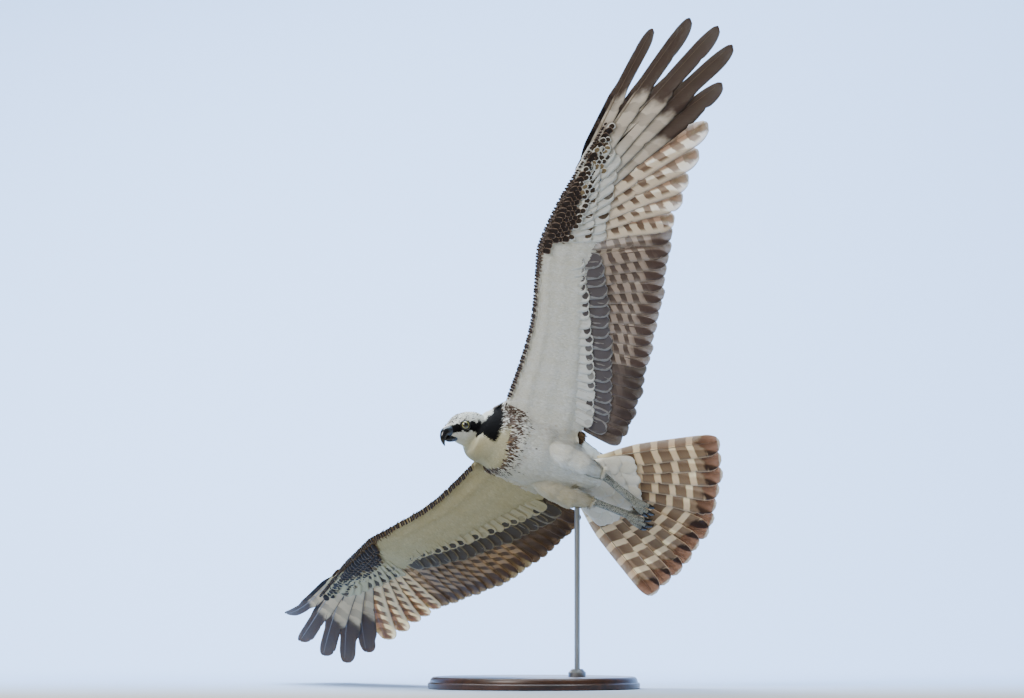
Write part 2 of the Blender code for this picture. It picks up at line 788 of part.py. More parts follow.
def make_arm(word):
    """One wing from shoulder to wrist, with its secondaries and two tiers of greater coverts."""
    pose = WING_POSES[word]
    arm = loft(f"wing_{word}_arm", core_rings(pose, 0.046, HAND_FROM_OUT, 9, 0, GAP), "plumage_white")
    spots = secondary_places()
    feathers = []
    for i, (root, tip) in enumerate(spots):
        t = i / (len(spots) - 1)
        shape = rounded(mix(SECONDARY_WIDTH, TERTIAL_WIDTH, t), OUTER_SHARE)
        feathers.append(vane("secondary", pose, root, tip, shape, 0.0, FLIGHT_TILT, bow=0.003))
    for low, tip_share, count in ((True, 0.46, ARM_COVERTS), (False, 0.52, ARM_COVERTS)):
        height = -UNDER_COVERT_LOW if low else UPPER_COVERT_HIGH
        for i in range(count):
            share = (i + 0.25) / (count - 0.5)
            root, tip = covert_between(spots, share, 0.04, tip_share)
            shape = rounded(0.030, 0.40, 0.006, 0.25, 0.62, 0.008)
            feathers.append(vane("covert", pose, root, tip, shape, height, COVERT_TILT, steps=3))
    joined(arm, feathers)
    return arm


def make_hand(word):
    """One wing from wrist to tip, with ten primaries, two tiers of coverts and the alula."""
    pose = WING_POSES[word]
    rings = core_rings(pose, HAND_FROM_OUT, HAND_END_OUT, 6, GAP)
    hand = loft(f"wing_{word}_hand", rings, "plumage_white")
    spots = primary_places()
    feathers = []
    for i, (root, tip) in enumerate(spots):
        if i < len(FINGER_FROM):
            wide = mix(OUTER_PRIMARY_WIDTH, PRIMARY_WIDTH, min(i / 2, 1.0))
            shape = fingered(wide, FINGER_WIDTHS[i], FINGER_FROM[i], OUTER_SHARE if i else 0.45)
            steps = 8
        else:
            shape = rounded(PRIMARY_WIDTH, OUTER_SHARE)
            steps = 6
        curl = TIP_CURL[word][i]
        feathers.append(
            vane("primary", pose, root, tip, shape, 0.0, FLIGHT_TILT, curl, 0.004, "plumage_brown", steps)
        )
    for low, tip_share in ((True, 0.40), (False, 0.42)):
        height = -UNDER_COVERT_LOW if low else UPPER_COVERT_HIGH
        for i in range(HAND_COVERTS):
            share = (i + 0.35) / (HAND_COVERTS - 0.3)
            root, tip = covert_between(spots, share, 0.05, tip_share)
            shape = rounded(0.026, 0.42, 0.006, 0.30, 0.62, 0.008)
            feathers.append(vane("covert", pose, root, tip, shape, height, COVERT_TILT, steps=3))
    for i, length in enumerate(ALULA_LENGTHS):
        root = (0.046 - 0.006 * i, HAND_FROM_OUT + 0.016)
        tip = (0.052 - 0.011 * i, HAND_FROM_OUT + 0.016 + length)
        shape = rounded(0.015, 0.5, 0.006, 0.3, 0.6, 0.004)
        feathers.append(vane("alula", pose, root, tip, shape, 0.0062 - 0.0011 * i, 0.03, steps=3))
    joined(hand, feathers)
    return hand


def tail_place(ahead, out, high):
    """A point of the flat tail fan, and its height over it, carried to the drooped and swung tail."""
    swung = ahead * math.cos(TAIL_SWING) + out * math.sin(TAIL_SWING)
    aside = out * math.cos(TAIL_SWING) - ahead * math.sin(TAIL_SWING)
    spot = FAN_AT + Vector((swung * math.cos(TAIL_DROOP), aside, swung * math.sin(TAIL_DROOP)))
    return spot + Vector((-math.sin(TAIL_DROOP), 0, math.cos(TAIL_DROOP))) * high


def make_tail():
    """The tail: its fleshy root, twelve feathers in a fan, and coverts above and below."""
    rings = []
    for reach, half, thick in TAIL_CORE:
        ring = []
        for k in range(14):
            turn = 2 * math.pi * k / 14
            c, s = math.cos(turn), math.sin(turn)
            wide = half * math.copysign(abs(c) ** 0.8, c)
            back = reach * math.cos(wide / max(reach, half) * 0.9)
            ring.append(tail_place(-back, wide, thick / 2 * math.copysign(abs(s) ** 0.8, s)))
        rings.append(ring)
    tail = loft("tail", rings, "plumage_white")
    feathers = []
    for i in range(RECTRIX_COUNT):
        angle = mix(FAN_HALF_ANGLE, -FAN_HALF_ANGLE, i / (RECTRIX_COUNT - 1))
        side = 1 if angle > 0 else -1
        centre_pair = i in (5, 6)
        height = (0.0013 if side < 0 else 0.0025) if centre_pair else 0.0
        tilt = 0.0 if centre_pair else RECTRIX_TILT
        feathers.append(rectrix(angle, side, FAN_TIP, height, tilt))
    for low in (True, False):
        for i in range(TAIL_COVERTS):
            angle = mix(FAN_HALF_ANGLE, -FAN_HALF_ANGLE, (i + 0.3) / (TAIL_COVERTS - 0.4)) * 0.86
            reach_tip = TAIL_COVERT_TIP - 0.020 * abs(angle) / FAN_HALF_ANGLE
            height = -0.0044 if low else 0.0046
            feathers.append(tail_covert(angle, reach_tip, height, i))
    joined(tail, feathers)
    return tail


def fan_blade(name, angle, side, start, end, widths, height, tilt, steps, finish):
    """A blade of the tail fan, pointing back at an angle from the midline."""
    along = Vector((-math.cos(angle), math.sin(angle)))
    across = Vector((math.sin(angle), math.cos(angle))) * side
    points = []
    for i in range(steps + 1):
        t = i / steps
        centre = along * mix(start, end, t)
        outer, inner = widths(t)
        half = VANE_THICK / 2
        for reach in (outer, -inner):
            spot = centre + across * reach
            for level in (half, -half):
                points.append(tail_place(spot.x, spot.y, height + tilt * reach + level))
    return blade(name, points, steps, finish)


def rectrix(angle, side, reach_tip, height, tilt):
    """One tail feather, which opens from a narrow quill to its full width."""

    def widths(t):
        reach = mix(FAN_ROOT, reach_tip, t)
        room = reach * 2 * FAN_HALF_ANGLE / (RECTRIX_COUNT - 1)
        opened = min(max((reach - RECTRIX_OPEN_FROM) / RECTRIX_OPEN_OVER, 0.0), 1.0)
        full = mix(0.8 * room, RECTRIX_WIDTH, opened)
        if t > 0.86:
            end = (t - 0.86) / 0.14
            full = mix(0.014, full, math.sqrt(max(0.0, 1 - end * end)))
        return full * 0.40, full * 0.60

    return fan_blade("rectrix", angle, side, FAN_ROOT, reach_tip, widths, height, tilt, 7, "plumage_barred")


def tail_covert(angle, reach_tip, height, index):
    """One covert over or under the base of the tail; every other one lies a little higher, so none cross."""
    step = 0.0 if index % 2 else math.copysign(0.0010, height)

    def widths(t):
        full = mix(0.012, 0.026, min(t / 0.4, 1.0))
        if t > 0.6:
            end = (t - 0.6) / 0.4
            full = mix(0.006, full, math.sqrt(max(0.0, 1 - end * end)))
        return full / 2, full / 2

    side = 1 if angle > 0 else -1
    level = height + step
    root, finish = TAIL_COVERT_ROOT, "plumage_white"
    return fan_blade("tail_covert", angle, side, root, reach_tip, widths, level, 0.0, 4, finish)


def make_leg(word):
    """One leg: feathered thigh, scaled tarsus, and a half-closed foot with its four talons."""
    hip, knee, ankle, foot = LEG_JOINTS[word]
    side = WING_POSES[word]["side"]
    path = [hip, hip.lerp(knee, 0.5), knee, knee.lerp(ankle, 0.5), knee.lerp(ankle, 0.92)]
    radii = (THIGH_RADII[0], 0.0235, THIGH_RADII[1], 0.0150, THIGH_RADII[2])
    thigh = loft(f"thigh_{word}", tube_rings(path, radii, 12), "plumage_white")
    joined(thigh, [loft("torso_grown", torso_rings(CUT_GAP), "plumage_white")], "DIFFERENCE")
    down = (foot - ankle).normalized()
    start = knee.lerp(ankle, 0.92) + (ankle - knee).normalized() * GAP
    path = [start, ankle, ankle.lerp(foot, 0.45), foot - down * 0.008]
    tarsus = loft(f"tarsus_{word}", tube_rings(path, TARSUS_RADII, 10), "leg_scale")
    joined(tarsus, [loft("torso_grown", torso_rings(CUT_GAP), "plumage_white")], "DIFFERENCE")
    palm = foot - down * (0.008 - GAP)
    knuckle = foot + down * 0.004
    pad = loft(f"foot_{word}", tube_rings([palm, foot, knuckle], (0.0066, 0.0082, 0.0060), 10), "leg_scale")
    toes = []
    for name, *shape in TOES:
        toe_path, talon_path, joint = toe_lines(foot, down, side, *shape)
        toes.append(loft("toe", tube_rings(toe_path, TOE_RADII, 8, ends=joint), "leg_scale"))
        radii = [TALON_RADIUS * (1 - t) ** 0.75 + 0.0003 for t in (0, 0.2, 0.42, 0.64, 0.84, 1.0)]
        loft(f"talon_{word}_{name}", tube_rings(talon_path, radii, 8, joint), "talon_horn")
    joined(pad, toes)
    return pad


def toe_lines(foot, down, side, front, splay, slant, length, curl, talon_length, talon_curl):
    """The curling centre lines of one toe and of its talon, and the way they point where they meet."""
    belly = Vector((0, 0, -1))
    belly = (belly - down * belly.dot(down)).normalized()
    across = down.cross(belly) * side
    belly *= front
    lean = math.radians(slant)
    heading = belly * math.cos(lean) + down * math.sin(lean) + across * math.tan(math.radians(splay))
    bending = down * math.cos(lean) - belly * math.sin(lean)
    heading.normalize()
    base = foot + heading * 0.002 + across * (math.sin(math.radians(splay)) * 0.005)
    turn = math.radians(curl)
    toe = arc_line(base, heading, bending, length, turn, len(TOE_RADII) - 1)
    start = heading * math.cos(turn) + bending * math.sin(turn)
    bending = bending * math.cos(turn) - heading * math.sin(turn)
    talon = arc_line(toe[-1] + start * GAP, start, bending, talon_length, math.radians(talon_curl), 5)
    return toe, talon, start


def arc_line(start, heading, bending, length, turn, steps):
    """Points along an arc that starts along heading and turns towards bending."""
    radius = length / turn
    line = []
    for i in range(steps + 1):
        angle = turn * i / steps
        line.append(start + heading * (radius * math.sin(angle)) + bending * (radius * (1 - math.cos(angle))))
    return line


def turned(name, profile, sides, finish, centre, bored=False):
    """A solid turned about +Z from (radius, height) points going up, or from a closed loop."""
    rings = []
    for radius, high in profile:
        spokes = [2 * math.pi * k / sides for k in range(sides)]
        rings.append([centre + Vector((radius * math.cos(t), radius * math.sin(t), high)) for t in spokes])
    if not bored:
        return loft(name, rings, finish)
    points = [p for ring in rings for p in ring]
    faces = []
    for r in range(len(rings)):
        for k in range(sides):
            a, b = r * sides + k, r * sides + (k + 1) % sides
            c, d = (a + sides) % len(points), (b + sides) % len(points)
            faces += [(a, b, d), (a, d, c)]
    made = new_object(name, points, faces, finish)
    face_outwards(made.data)
    return made


def make_stand(bird):
    """The round base, the collar and the straight rod that goes up into the right flank."""
    profile = [(BASE_RADIUS, 0.0)]
    for i in range(BASE_ROUND_STEPS + 1):
        turn = math.pi / 2 * i / BASE_ROUND_STEPS
        rim = BASE_RADIUS - BASE_ROUND + BASE_ROUND * math.cos(turn)
        profile.append((rim, BASE_TALL - BASE_ROUND + BASE_ROUND * math.sin(turn)))
    turned("stand_base", profile, 48, "base_wood", Vector())
    top = bird.matrix_world @ ROD_BODY_POINT
    foot = Vector((top.x, top.y, BASE_TALL + GAP))
    reach = top.z + ROD_REACH - foot.z
    rod = turned("stand_rod", [(ROD_RADIUS, 0.0), (ROD_RADIUS, reach)], 16, "rod_steel", foot)
    cutter = loft("torso_grown", torso_rings(CUT_GAP), "plumage_white")
    cutter.parent = bird
    joined(rod, [cutter], "DIFFERENCE")
    inner = ROD_RADIUS + GAP
    profile = [(inner, 0.0), (COLLAR_RADIUS, 0.0), (COLLAR_RADIUS, COLLAR_TALL * 0.55)]
    profile += [(COLLAR_RADIUS * 0.62, COLLAR_TALL), (inner, COLLAR_TALL)]
    turned("stand_collar", profile, 24, "rod_steel", foot, bored=True)


def bird_empty():
    """The empty that carries every part of the bird and banks it over the stand."""
    ahead = BIRD_FORWARD.normalized()
    left = (BIRD_LEFT - ahead * BIRD_LEFT.dot(ahead)).normalized()
    frame = Matrix((ahead, left, ahead.cross(left))).transposed()
    made = bpy.data.objects.new("bird", None)
    bpy.context.scene.collection.objects.link(made)
    made.location = SHOULDER_AT
    made.rotation_euler = frame.to_euler()
    bpy.context.view_layer.update()
    return made


def main():
    """Builds the bird in its own frame, hangs it on the empty, and adds the stand."""
    clear_scene()
    loft("torso", torso_rings(), "plumage_white")
    make_head()
    neck, ruff = neck_halves()
    joined(neck, [ruff])
    joined(neck, [loft("head_grown", head_rings(CUT_GAP), "plumage_white")], "DIFFERENCE")
    for word in ("left", "right"):
        arm = make_arm(word)
        for cutter in grown_body():
            joined(arm, [cutter], "DIFFERENCE")
        make_hand(word)
        make_leg(word)
    tail = make_tail()
    joined(tail, [loft("torso_grown", torso_rings(CUT_GAP), "plumage_white")], "DIFFERENCE")
    parts = [thing for thing in bpy.data.objects if thing.type == "MESH"]
    bird = bird_empty()
    for thing in parts:
        thing.parent = bird
    bpy.context.view_layer.update()
    make_stand(bird)
    for thing in bpy.data.objects:
        if thing.type == "MESH":
            thing.data.shade_smooth()
            thing.data.set_sharp_from_angle(angle=math.radians(40))


main()
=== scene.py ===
"""The looks of a life-size osprey banking in flight on its display stand.

The bird is worked out in its own frame, +X towards the head, +Y to its left, +Z out of its back, from the same
named sizes as its solids, and then carried to where the solids stand. Lengths are in metres and angles in degrees.
Colours are written as the 0 to 255 values that they show in daylight.
"""

import logging
from collections.abc import Callable, Sequence
from dataclasses import dataclass, field, replace
from enum import Enum, IntEnum
from math import cos, pi, radians, sin, tan

import bmesh
import bpy
import numpy as np
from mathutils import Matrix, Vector


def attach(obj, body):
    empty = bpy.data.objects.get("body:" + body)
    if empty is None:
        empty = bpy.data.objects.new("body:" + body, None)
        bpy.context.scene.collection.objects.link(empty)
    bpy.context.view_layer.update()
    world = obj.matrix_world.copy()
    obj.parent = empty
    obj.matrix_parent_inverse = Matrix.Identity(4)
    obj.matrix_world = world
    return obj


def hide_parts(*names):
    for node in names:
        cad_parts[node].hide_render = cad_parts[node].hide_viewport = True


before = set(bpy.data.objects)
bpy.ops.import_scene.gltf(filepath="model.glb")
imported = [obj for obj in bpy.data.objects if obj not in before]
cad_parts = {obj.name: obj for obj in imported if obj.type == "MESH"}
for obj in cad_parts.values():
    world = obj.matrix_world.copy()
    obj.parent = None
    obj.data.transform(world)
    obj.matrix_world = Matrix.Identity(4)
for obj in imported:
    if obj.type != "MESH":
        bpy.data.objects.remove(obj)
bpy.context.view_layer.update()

LOG = logging.getLogger("osprey")

Array = np.ndarray
Material = bpy.types.Material
Object = bpy.types.Object
Random = np.random.Generator
Colour = tuple[float, float, float]
Point = tuple[float, float, float]
Keep = Callable[[Array, Array], Array]
Place = Callable[[Array, Array, Array], Array]
Spots = list[tuple[Array, Array]]
Table = Sequence[tuple[float, ...]]

SEED = 20
PHOTO_WIDE = 1024
PIXELS_PER_METRE = 560.0
DEEPEN = 1.32
CLEAR = (1.0, 1.0, 1.0)
FEATHER_GLOW = (1.0, 0.86, 0.70)
SHADED_WHITE = (0.56, 0.455, 0.25)
SHADED_FLIGHT = (0.84, 0.68, 0.44)
UPPER_FACING = 0.05
FLESH_PLACE = np.array([0.0, 0.06, 0.20, 0.45, 0.75, 1.0])
FLESH_FULL = np.array([0.0, 0.62, 0.97, 1.0, 0.86, 0.0])
TUFT_SIDES = np.array([1.0, -1.0, 0.0, 1.0, -1.0, 0.0, 0.0])
TUFT_ENDS = np.array([-1.0, -1.0, -1.0, 0.0, 0.0, 0.0, 1.0])
TUFT_LOWER = np.array([1.0, 1.0, 1.0, 1.0, -1.0, -1.0, 1.0, 1.0, -1.0, -1.0])
TUFT_TIPWARD = np.array([0.0, 0.0, 0.0, 0.45, 0.45, 0.35, 1.0])
TUFT_BAKE = np.array([(-1, -1), (1, -1), (0, -1), (-1, 0), (1, 0), (0, 0), (0, 1)]) * 0.0015
TUFT_FACES = np.array(
    [(0, 2, 5), (0, 5, 3), (2, 1, 4), (2, 4, 5), (1, 0, 3), (1, 3, 4), (3, 5, 6), (5, 4, 6), (4, 3, 6), (0, 1, 2)]
)

WING_ROOT_OUT = 0.068
BEND_FROM_OUT = 0.290
BEND_TO_OUT = 0.400
CHORD_CAMBER = 0.010
CAMBER_CHORD = 0.23
HAND_FROM_OUT = 0.378
LEADING_EDGE: Table = (
    (0.030, -0.004), (0.068, 0.000), (0.160, 0.006), (0.226, 0.017), (0.309, 0.044), (0.350, 0.057),
    (0.431, 0.055), (0.504, 0.044), (0.598, 0.029),
)
CORE_BACK: Table = (
    (0.030, -0.150), (0.068, -0.150), (0.160, -0.118), (0.226, -0.094), (0.309, -0.062), (0.350, -0.046),
    (0.400, -0.036), (0.460, -0.012), (0.510, 0.010), (0.545, 0.026),
)
CORE_THICK: Table = (
    (0.030, 0.030), (0.068, 0.027), (0.160, 0.021), (0.309, 0.016), (0.350, 0.015), (0.460, 0.010),
    (0.545, 0.0062),
)
TRAILING_EDGE: Table = (
    (0.060, -0.226), (0.110, -0.231), (0.189, -0.224), (0.319, -0.199), (0.396, -0.181), (0.445, -0.171),
)
PRIMARY_TIPS: Table = (
    (0.009, 0.786), (-0.045, 0.829), (-0.098, 0.835), (-0.134, 0.814), (-0.143, 0.744), (-0.146, 0.669),
    (-0.150, 0.617), (-0.150, 0.569), (-0.154, 0.533), (-0.156, 0.491), (-0.162, 0.467),
)
WRIST_DEPTH: Table = (
    (0.068, 0.0046), (0.250, 0.0050), (0.300, 0.0065), (0.362, 0.0150), (0.378, 0.0330), (0.430, 0.0330),
    (0.460, 0.0230), (0.500, 0.0120), (0.545, 0.0080),
)
STRIPE_TOP: Table = (
    (-0.040, -0.0010), (-0.022, -0.0035), (-0.012, 0.0045), (0.004, 0.0104), (0.022, 0.0075), (0.030, 0.0040),
)
STRIPE_BOTTOM: Table = (
    (-0.040, -0.0300), (-0.020, -0.0250), (-0.0137, -0.0200), (-0.009, -0.0122), (0.008, -0.0075),
    (0.022, -0.0058),
)
NECK_TOP: Table = ((0.006, 130.0), (0.013, 46.0), (0.019, 12.0), (0.027, -3.0), (0.034, -10.0))
EYE: Point = (0.0035, 0.0190, 0.0035)


def hue(red: float, green: float, blue: float) -> Colour:
    """A colour seen in daylight, from 0 to 255, as the linear values that a shader takes, a little deepened."""

    def one(value: float) -> float:
        """One channel."""
        share = value / 255.0
        linear = share / 12.92 if share <= 0.04045 else ((share + 0.055) / 1.055) ** 2.4
        return linear**DEEPEN

    return one(red), one(green), one(blue)


def ease(value: Array, low: float, high: float) -> Array:
    """Rises smoothly from 0 at low to 1 at high."""
    t = np.clip((np.asarray(value, float) - low) / (high - low), 0.0, 1.0)
    return t * t * (3 - 2 * t)


def follow(points: Table, at: Array) -> Array:
    """A smooth curve through a short table of (place, value) pairs.

    Args:
        points: The pairs, in the order of their places.
        at: Where the curve is wanted; outside the table it keeps its end values.

    Returns:
        The values there.
    """
    xs, ys = np.array(points, float).T
    at = np.clip(np.asarray(at, float), xs[0], xs[-1])
    last = len(xs) - 1
    i = np.clip(np.searchsorted(xs, at, side="left") - 1, 0, last - 1)
    before, after = np.maximum(i - 1, 0), np.minimum(i + 2, last)
    span = xs[i + 1] - xs[i]
    slope = (ys[i + 1] - ys[i]) / span
    start = np.where(i > 0, (ys[i + 1] - ys[before]) / (xs[i + 1] - xs[before]), slope)
    end = np.where(i + 2 <= last, (ys[after] - ys[i]) / (xs[after] - xs[i]), slope)
    t = (at - xs[i]) / span
    bow = (t - 2 * t * t + t**3) * start + (t**3 - t * t) * end
    return ys[i] + (ys[i + 1] - ys[i]) * t * t * (3 - 2 * t) + bow * span


def unit(vectors: Array) -> Array:
    """Vectors brought to length 1 along their last axis."""
    return vectors / np.maximum(np.linalg.norm(vectors, axis=-1, keepdims=True), 1e-9)


def hashed(points: Array, scale: float, seed: float = 0.0) -> Array:
    """Soft patches from 0 to 1 that vary over space, the same for every run.

    Args:
        points: Places, one to a row.
        scale: How many patches fit along a metre.
        seed: Which pattern.

    Returns:
        One value for each place.
    """
    p = points * scale
    total = np.zeros(len(p))
    for k in range(1, 5):
        a = np.array([sin(k * 12.9 + seed), sin(k * 78.2 + seed * 1.7), sin(k * 37.7 + seed * 2.3)])
        b = np.array([cos(k * 5.1 + seed), sin(k * 9.3 - seed), cos(k * 3.7 + seed)])
        total += np.sin(p @ a * 6.28 + k) * np.sin(p @ b * 6.28 + 2 * k)
    return np.clip(0.5 + total * 0.28, 0.0, 1.0)


@dataclass(frozen=True)
class BirdFrame:
    """Where the bird's own frame stands over the floor."""

    at: tuple[float, float, float] = (-0.082, -0.060, 0.462)
    forward: tuple[float, float, float] = (-0.9033, -0.2663, 0.3363)
    left: tuple[float, float, float] = (0.4218, -0.4093, 0.8090)

    def axes(self) -> Array:
        """The three axes as rows."""
        ahead = unit(np.array(self.forward))
        left = np.array(self.left)
        left = unit(left - ahead * (left @ ahead))
        return np.array([ahead, left, np.cross(ahead, left)])

    def to_world(self, points: Array) -> Array:
        """Points of the bird's frame as the solids have them."""
        return np.asarray(points, float) @ self.axes() + np.array(self.at)


@dataclass(frozen=True)
class HeadFrame:
    """The head's own frame inside the bird's, with its origin midway between the eyes."""

    at: tuple[float, float, float] = (0.060, 0.0, -0.033)
    forward: tuple[float, float, float] = (0.762, -0.120, -0.634)
    up: tuple[float, float, float] = (0.517, 0.700, 0.488)

    def axes(self) -> Array:
        """The three axes as rows."""
        ahead = unit(np.array(self.forward))
        left = unit(np.cross(np.array(self.up), ahead))
        return np.array([ahead, left, np.cross(ahead, left)])

    def to_bird(self, points: Array) -> Array:
        """Points of the head's frame in the bird's."""
        return np.asarray(points, float) @ self.axes() + np.array(self.at)

    def from_bird(self, points: Array) -> Array:
        """Points of the bird's frame in the head's."""
        return (np.asarray(points, float) - np.array(self.at)) @ self.axes().T


BIRD = BirdFrame()
HEAD = HeadFrame()


class Side(Enum):
    """Which side of the bird something is on."""

    LEFT = 1
    RIGHT = -1

    @property
    def word(self) -> str:
        """The side as piece names say it."""
        return self.name.lower()


@dataclass(frozen=True)
class WingPose:
    """How one wing is held, and so where each point of its flat plan goes."""

    side: Side
    sweep: float
    arm: float
    hand: float
    arm_pitch: float
    hand_pitch: float
    curls: tuple[float, ...]

    def along_to_side(self, along: Array) -> tuple[Array, Array, Array]:
        """How far out, how high and how steep the wing is at a length along it."""
        arm, hand = radians(self.arm), radians(self.hand)
        start, end = BEND_FROM_OUT - WING_ROOT_OUT, BEND_TO_OUT - WING_ROOT_OUT
        curve = (hand - arm) / (end - start)
        rise = arm + (hand - arm) * np.clip((along - start) / (end - start), 0.0, 1.0)
        straight = np.minimum(along, start)
        beyond = np.maximum(along - end, 0.0)
        y = straight * cos(arm) + (np.sin(rise) - sin(arm)) / curve + beyond * cos(hand)
        z = straight * sin(arm) - (np.cos(rise) - cos(arm)) / curve + beyond * sin(hand)
        return y, z, rise

    def place(self, ahead: Array, out: Array, high: Array) -> Array:
        """Carries points of the flat plan, and their heights over it, to the posed wing in the bird's frame.

        Args:
            ahead: How far each is ahead of the shoulders.
            out: How far each is from the midline.
            high: How far each is above the plan.

        Returns:
            The points, one to a row.
        """
        turn = radians(self.sweep)
        ds = out - WING_ROOT_OUT
        front = ahead * cos(turn) + ds * sin(turn)
        along = -ahead * sin(turn) + ds * cos(turn)
        y, z, rise = self.along_to_side(along)
        y = y - high * np.sin(rise)
        z = z + high * np.cos(rise)
        share = (rise - radians(self.arm)) / radians(self.hand - self.arm)
        pitch = np.radians(self.arm_pitch + (self.hand_pitch - self.arm_pitch) * share)
        z = z + front * np.tan(pitch)
        behind = np.maximum(0.0, follow(LEADING_EDGE, out) - front) / CAMBER_CHORD
        z = z - CHORD_CAMBER * behind * behind
        return np.stack([front, self.side.value * (WING_ROOT_OUT + y), z], axis=-1)

    def plan(self, points: Array) -> tuple[Array, Array]:
        """The flat plan's (ahead, out) under points of the posed wing."""
        lengths = np.linspace(-0.15, 0.90, 400)
        reach = self.along_to_side(lengths)[0]
        along = np.interp(self.side.value * points[:, 1] - WING_ROOT_OUT, reach, lengths)
        turn = radians(self.sweep)
        ahead = points[:, 0] * cos(turn) - along * sin(turn)
        return ahead, points[:, 0] * sin(turn) + along * cos(turn) + WING_ROOT_OUT


LEFT_POSE = WingPose(
    Side.LEFT, 0.0, 15.4, 17.2, 2.3, 1.4, (0.012, 0.008, 0.006, 0.004, 0.003, 0.002, 0.001, *[0.0] * 4)
)
RIGHT_POSE = WingPose(
    Side.RIGHT, 4.4, 19.0, 35.3, 3.6, -2.6, (0.040, 0.021, 0.014, 0.006, 0.004, 0.002, *[0.0] * 5)
)


def plan_of(points: Array) -> tuple[Array, Array]:
    """Where points of either wing lie in its flat plan, ahead and out."""
    left, right = LEFT_POSE.plan(points), RIGHT_POSE.plan(points)
    own = points[:, 1] > 0
    return np.where(own, left[0], right[0]), np.where(own, left[1], right[1])


def under_skin(ahead: float, out: float) -> float:
    """How far the skin's underside hangs below the flat plan of a wing."""
    front, back = float(follow(LEADING_EDGE, out)), float(follow(CORE_BACK, out))
    fat = np.interp((front - ahead) / (front - back), FLESH_PLACE, FLESH_FULL)
    return -float(follow(CORE_THICK, out)) * fat * 0.55


def put(name: str, data: bpy.types.ID) -> Object:
    """A new object in the scene."""
    made = bpy.data.objects.new(name, data)
    bpy.context.scene.collection.objects.link(made)
    return made


class Value:
    """One output of a node tree, that arithmetic works on."""

    def __init__(self, shading: "Shading", socket: bpy.types.NodeSocket) -> None:
        """Holds the output and the tree it belongs to."""
        self.shading, self.socket = shading, socket

    def __add__(self, other: object) -> "Value":
        """The sum."""
        return self.shading.math("ADD", self, other)

    def __sub__(self, other: object) -> "Value":
        """What is left after taking something off."""
        return self.shading.math("SUBTRACT", self, other)

    def __rsub__(self, other: object) -> "Value":
        """What is left when this is taken off something."""
        return self.shading.math("SUBTRACT", other, self)

    def __mul__(self, other: object) -> "Value":
        """The product."""
        return self.shading.math("MULTIPLY", self, other)

    def __truediv__(self, other: object) -> "Value":
        """The share."""
        return self.shading.math("DIVIDE", self, other)

    def __pow__(self, other: object) -> "Value":
        """The power."""
        return self.shading.math("POWER", self, other)

    def __abs__(self) -> "Value":
        """The size without its sign."""
        return self.shading.math("ABSOLUTE", self)


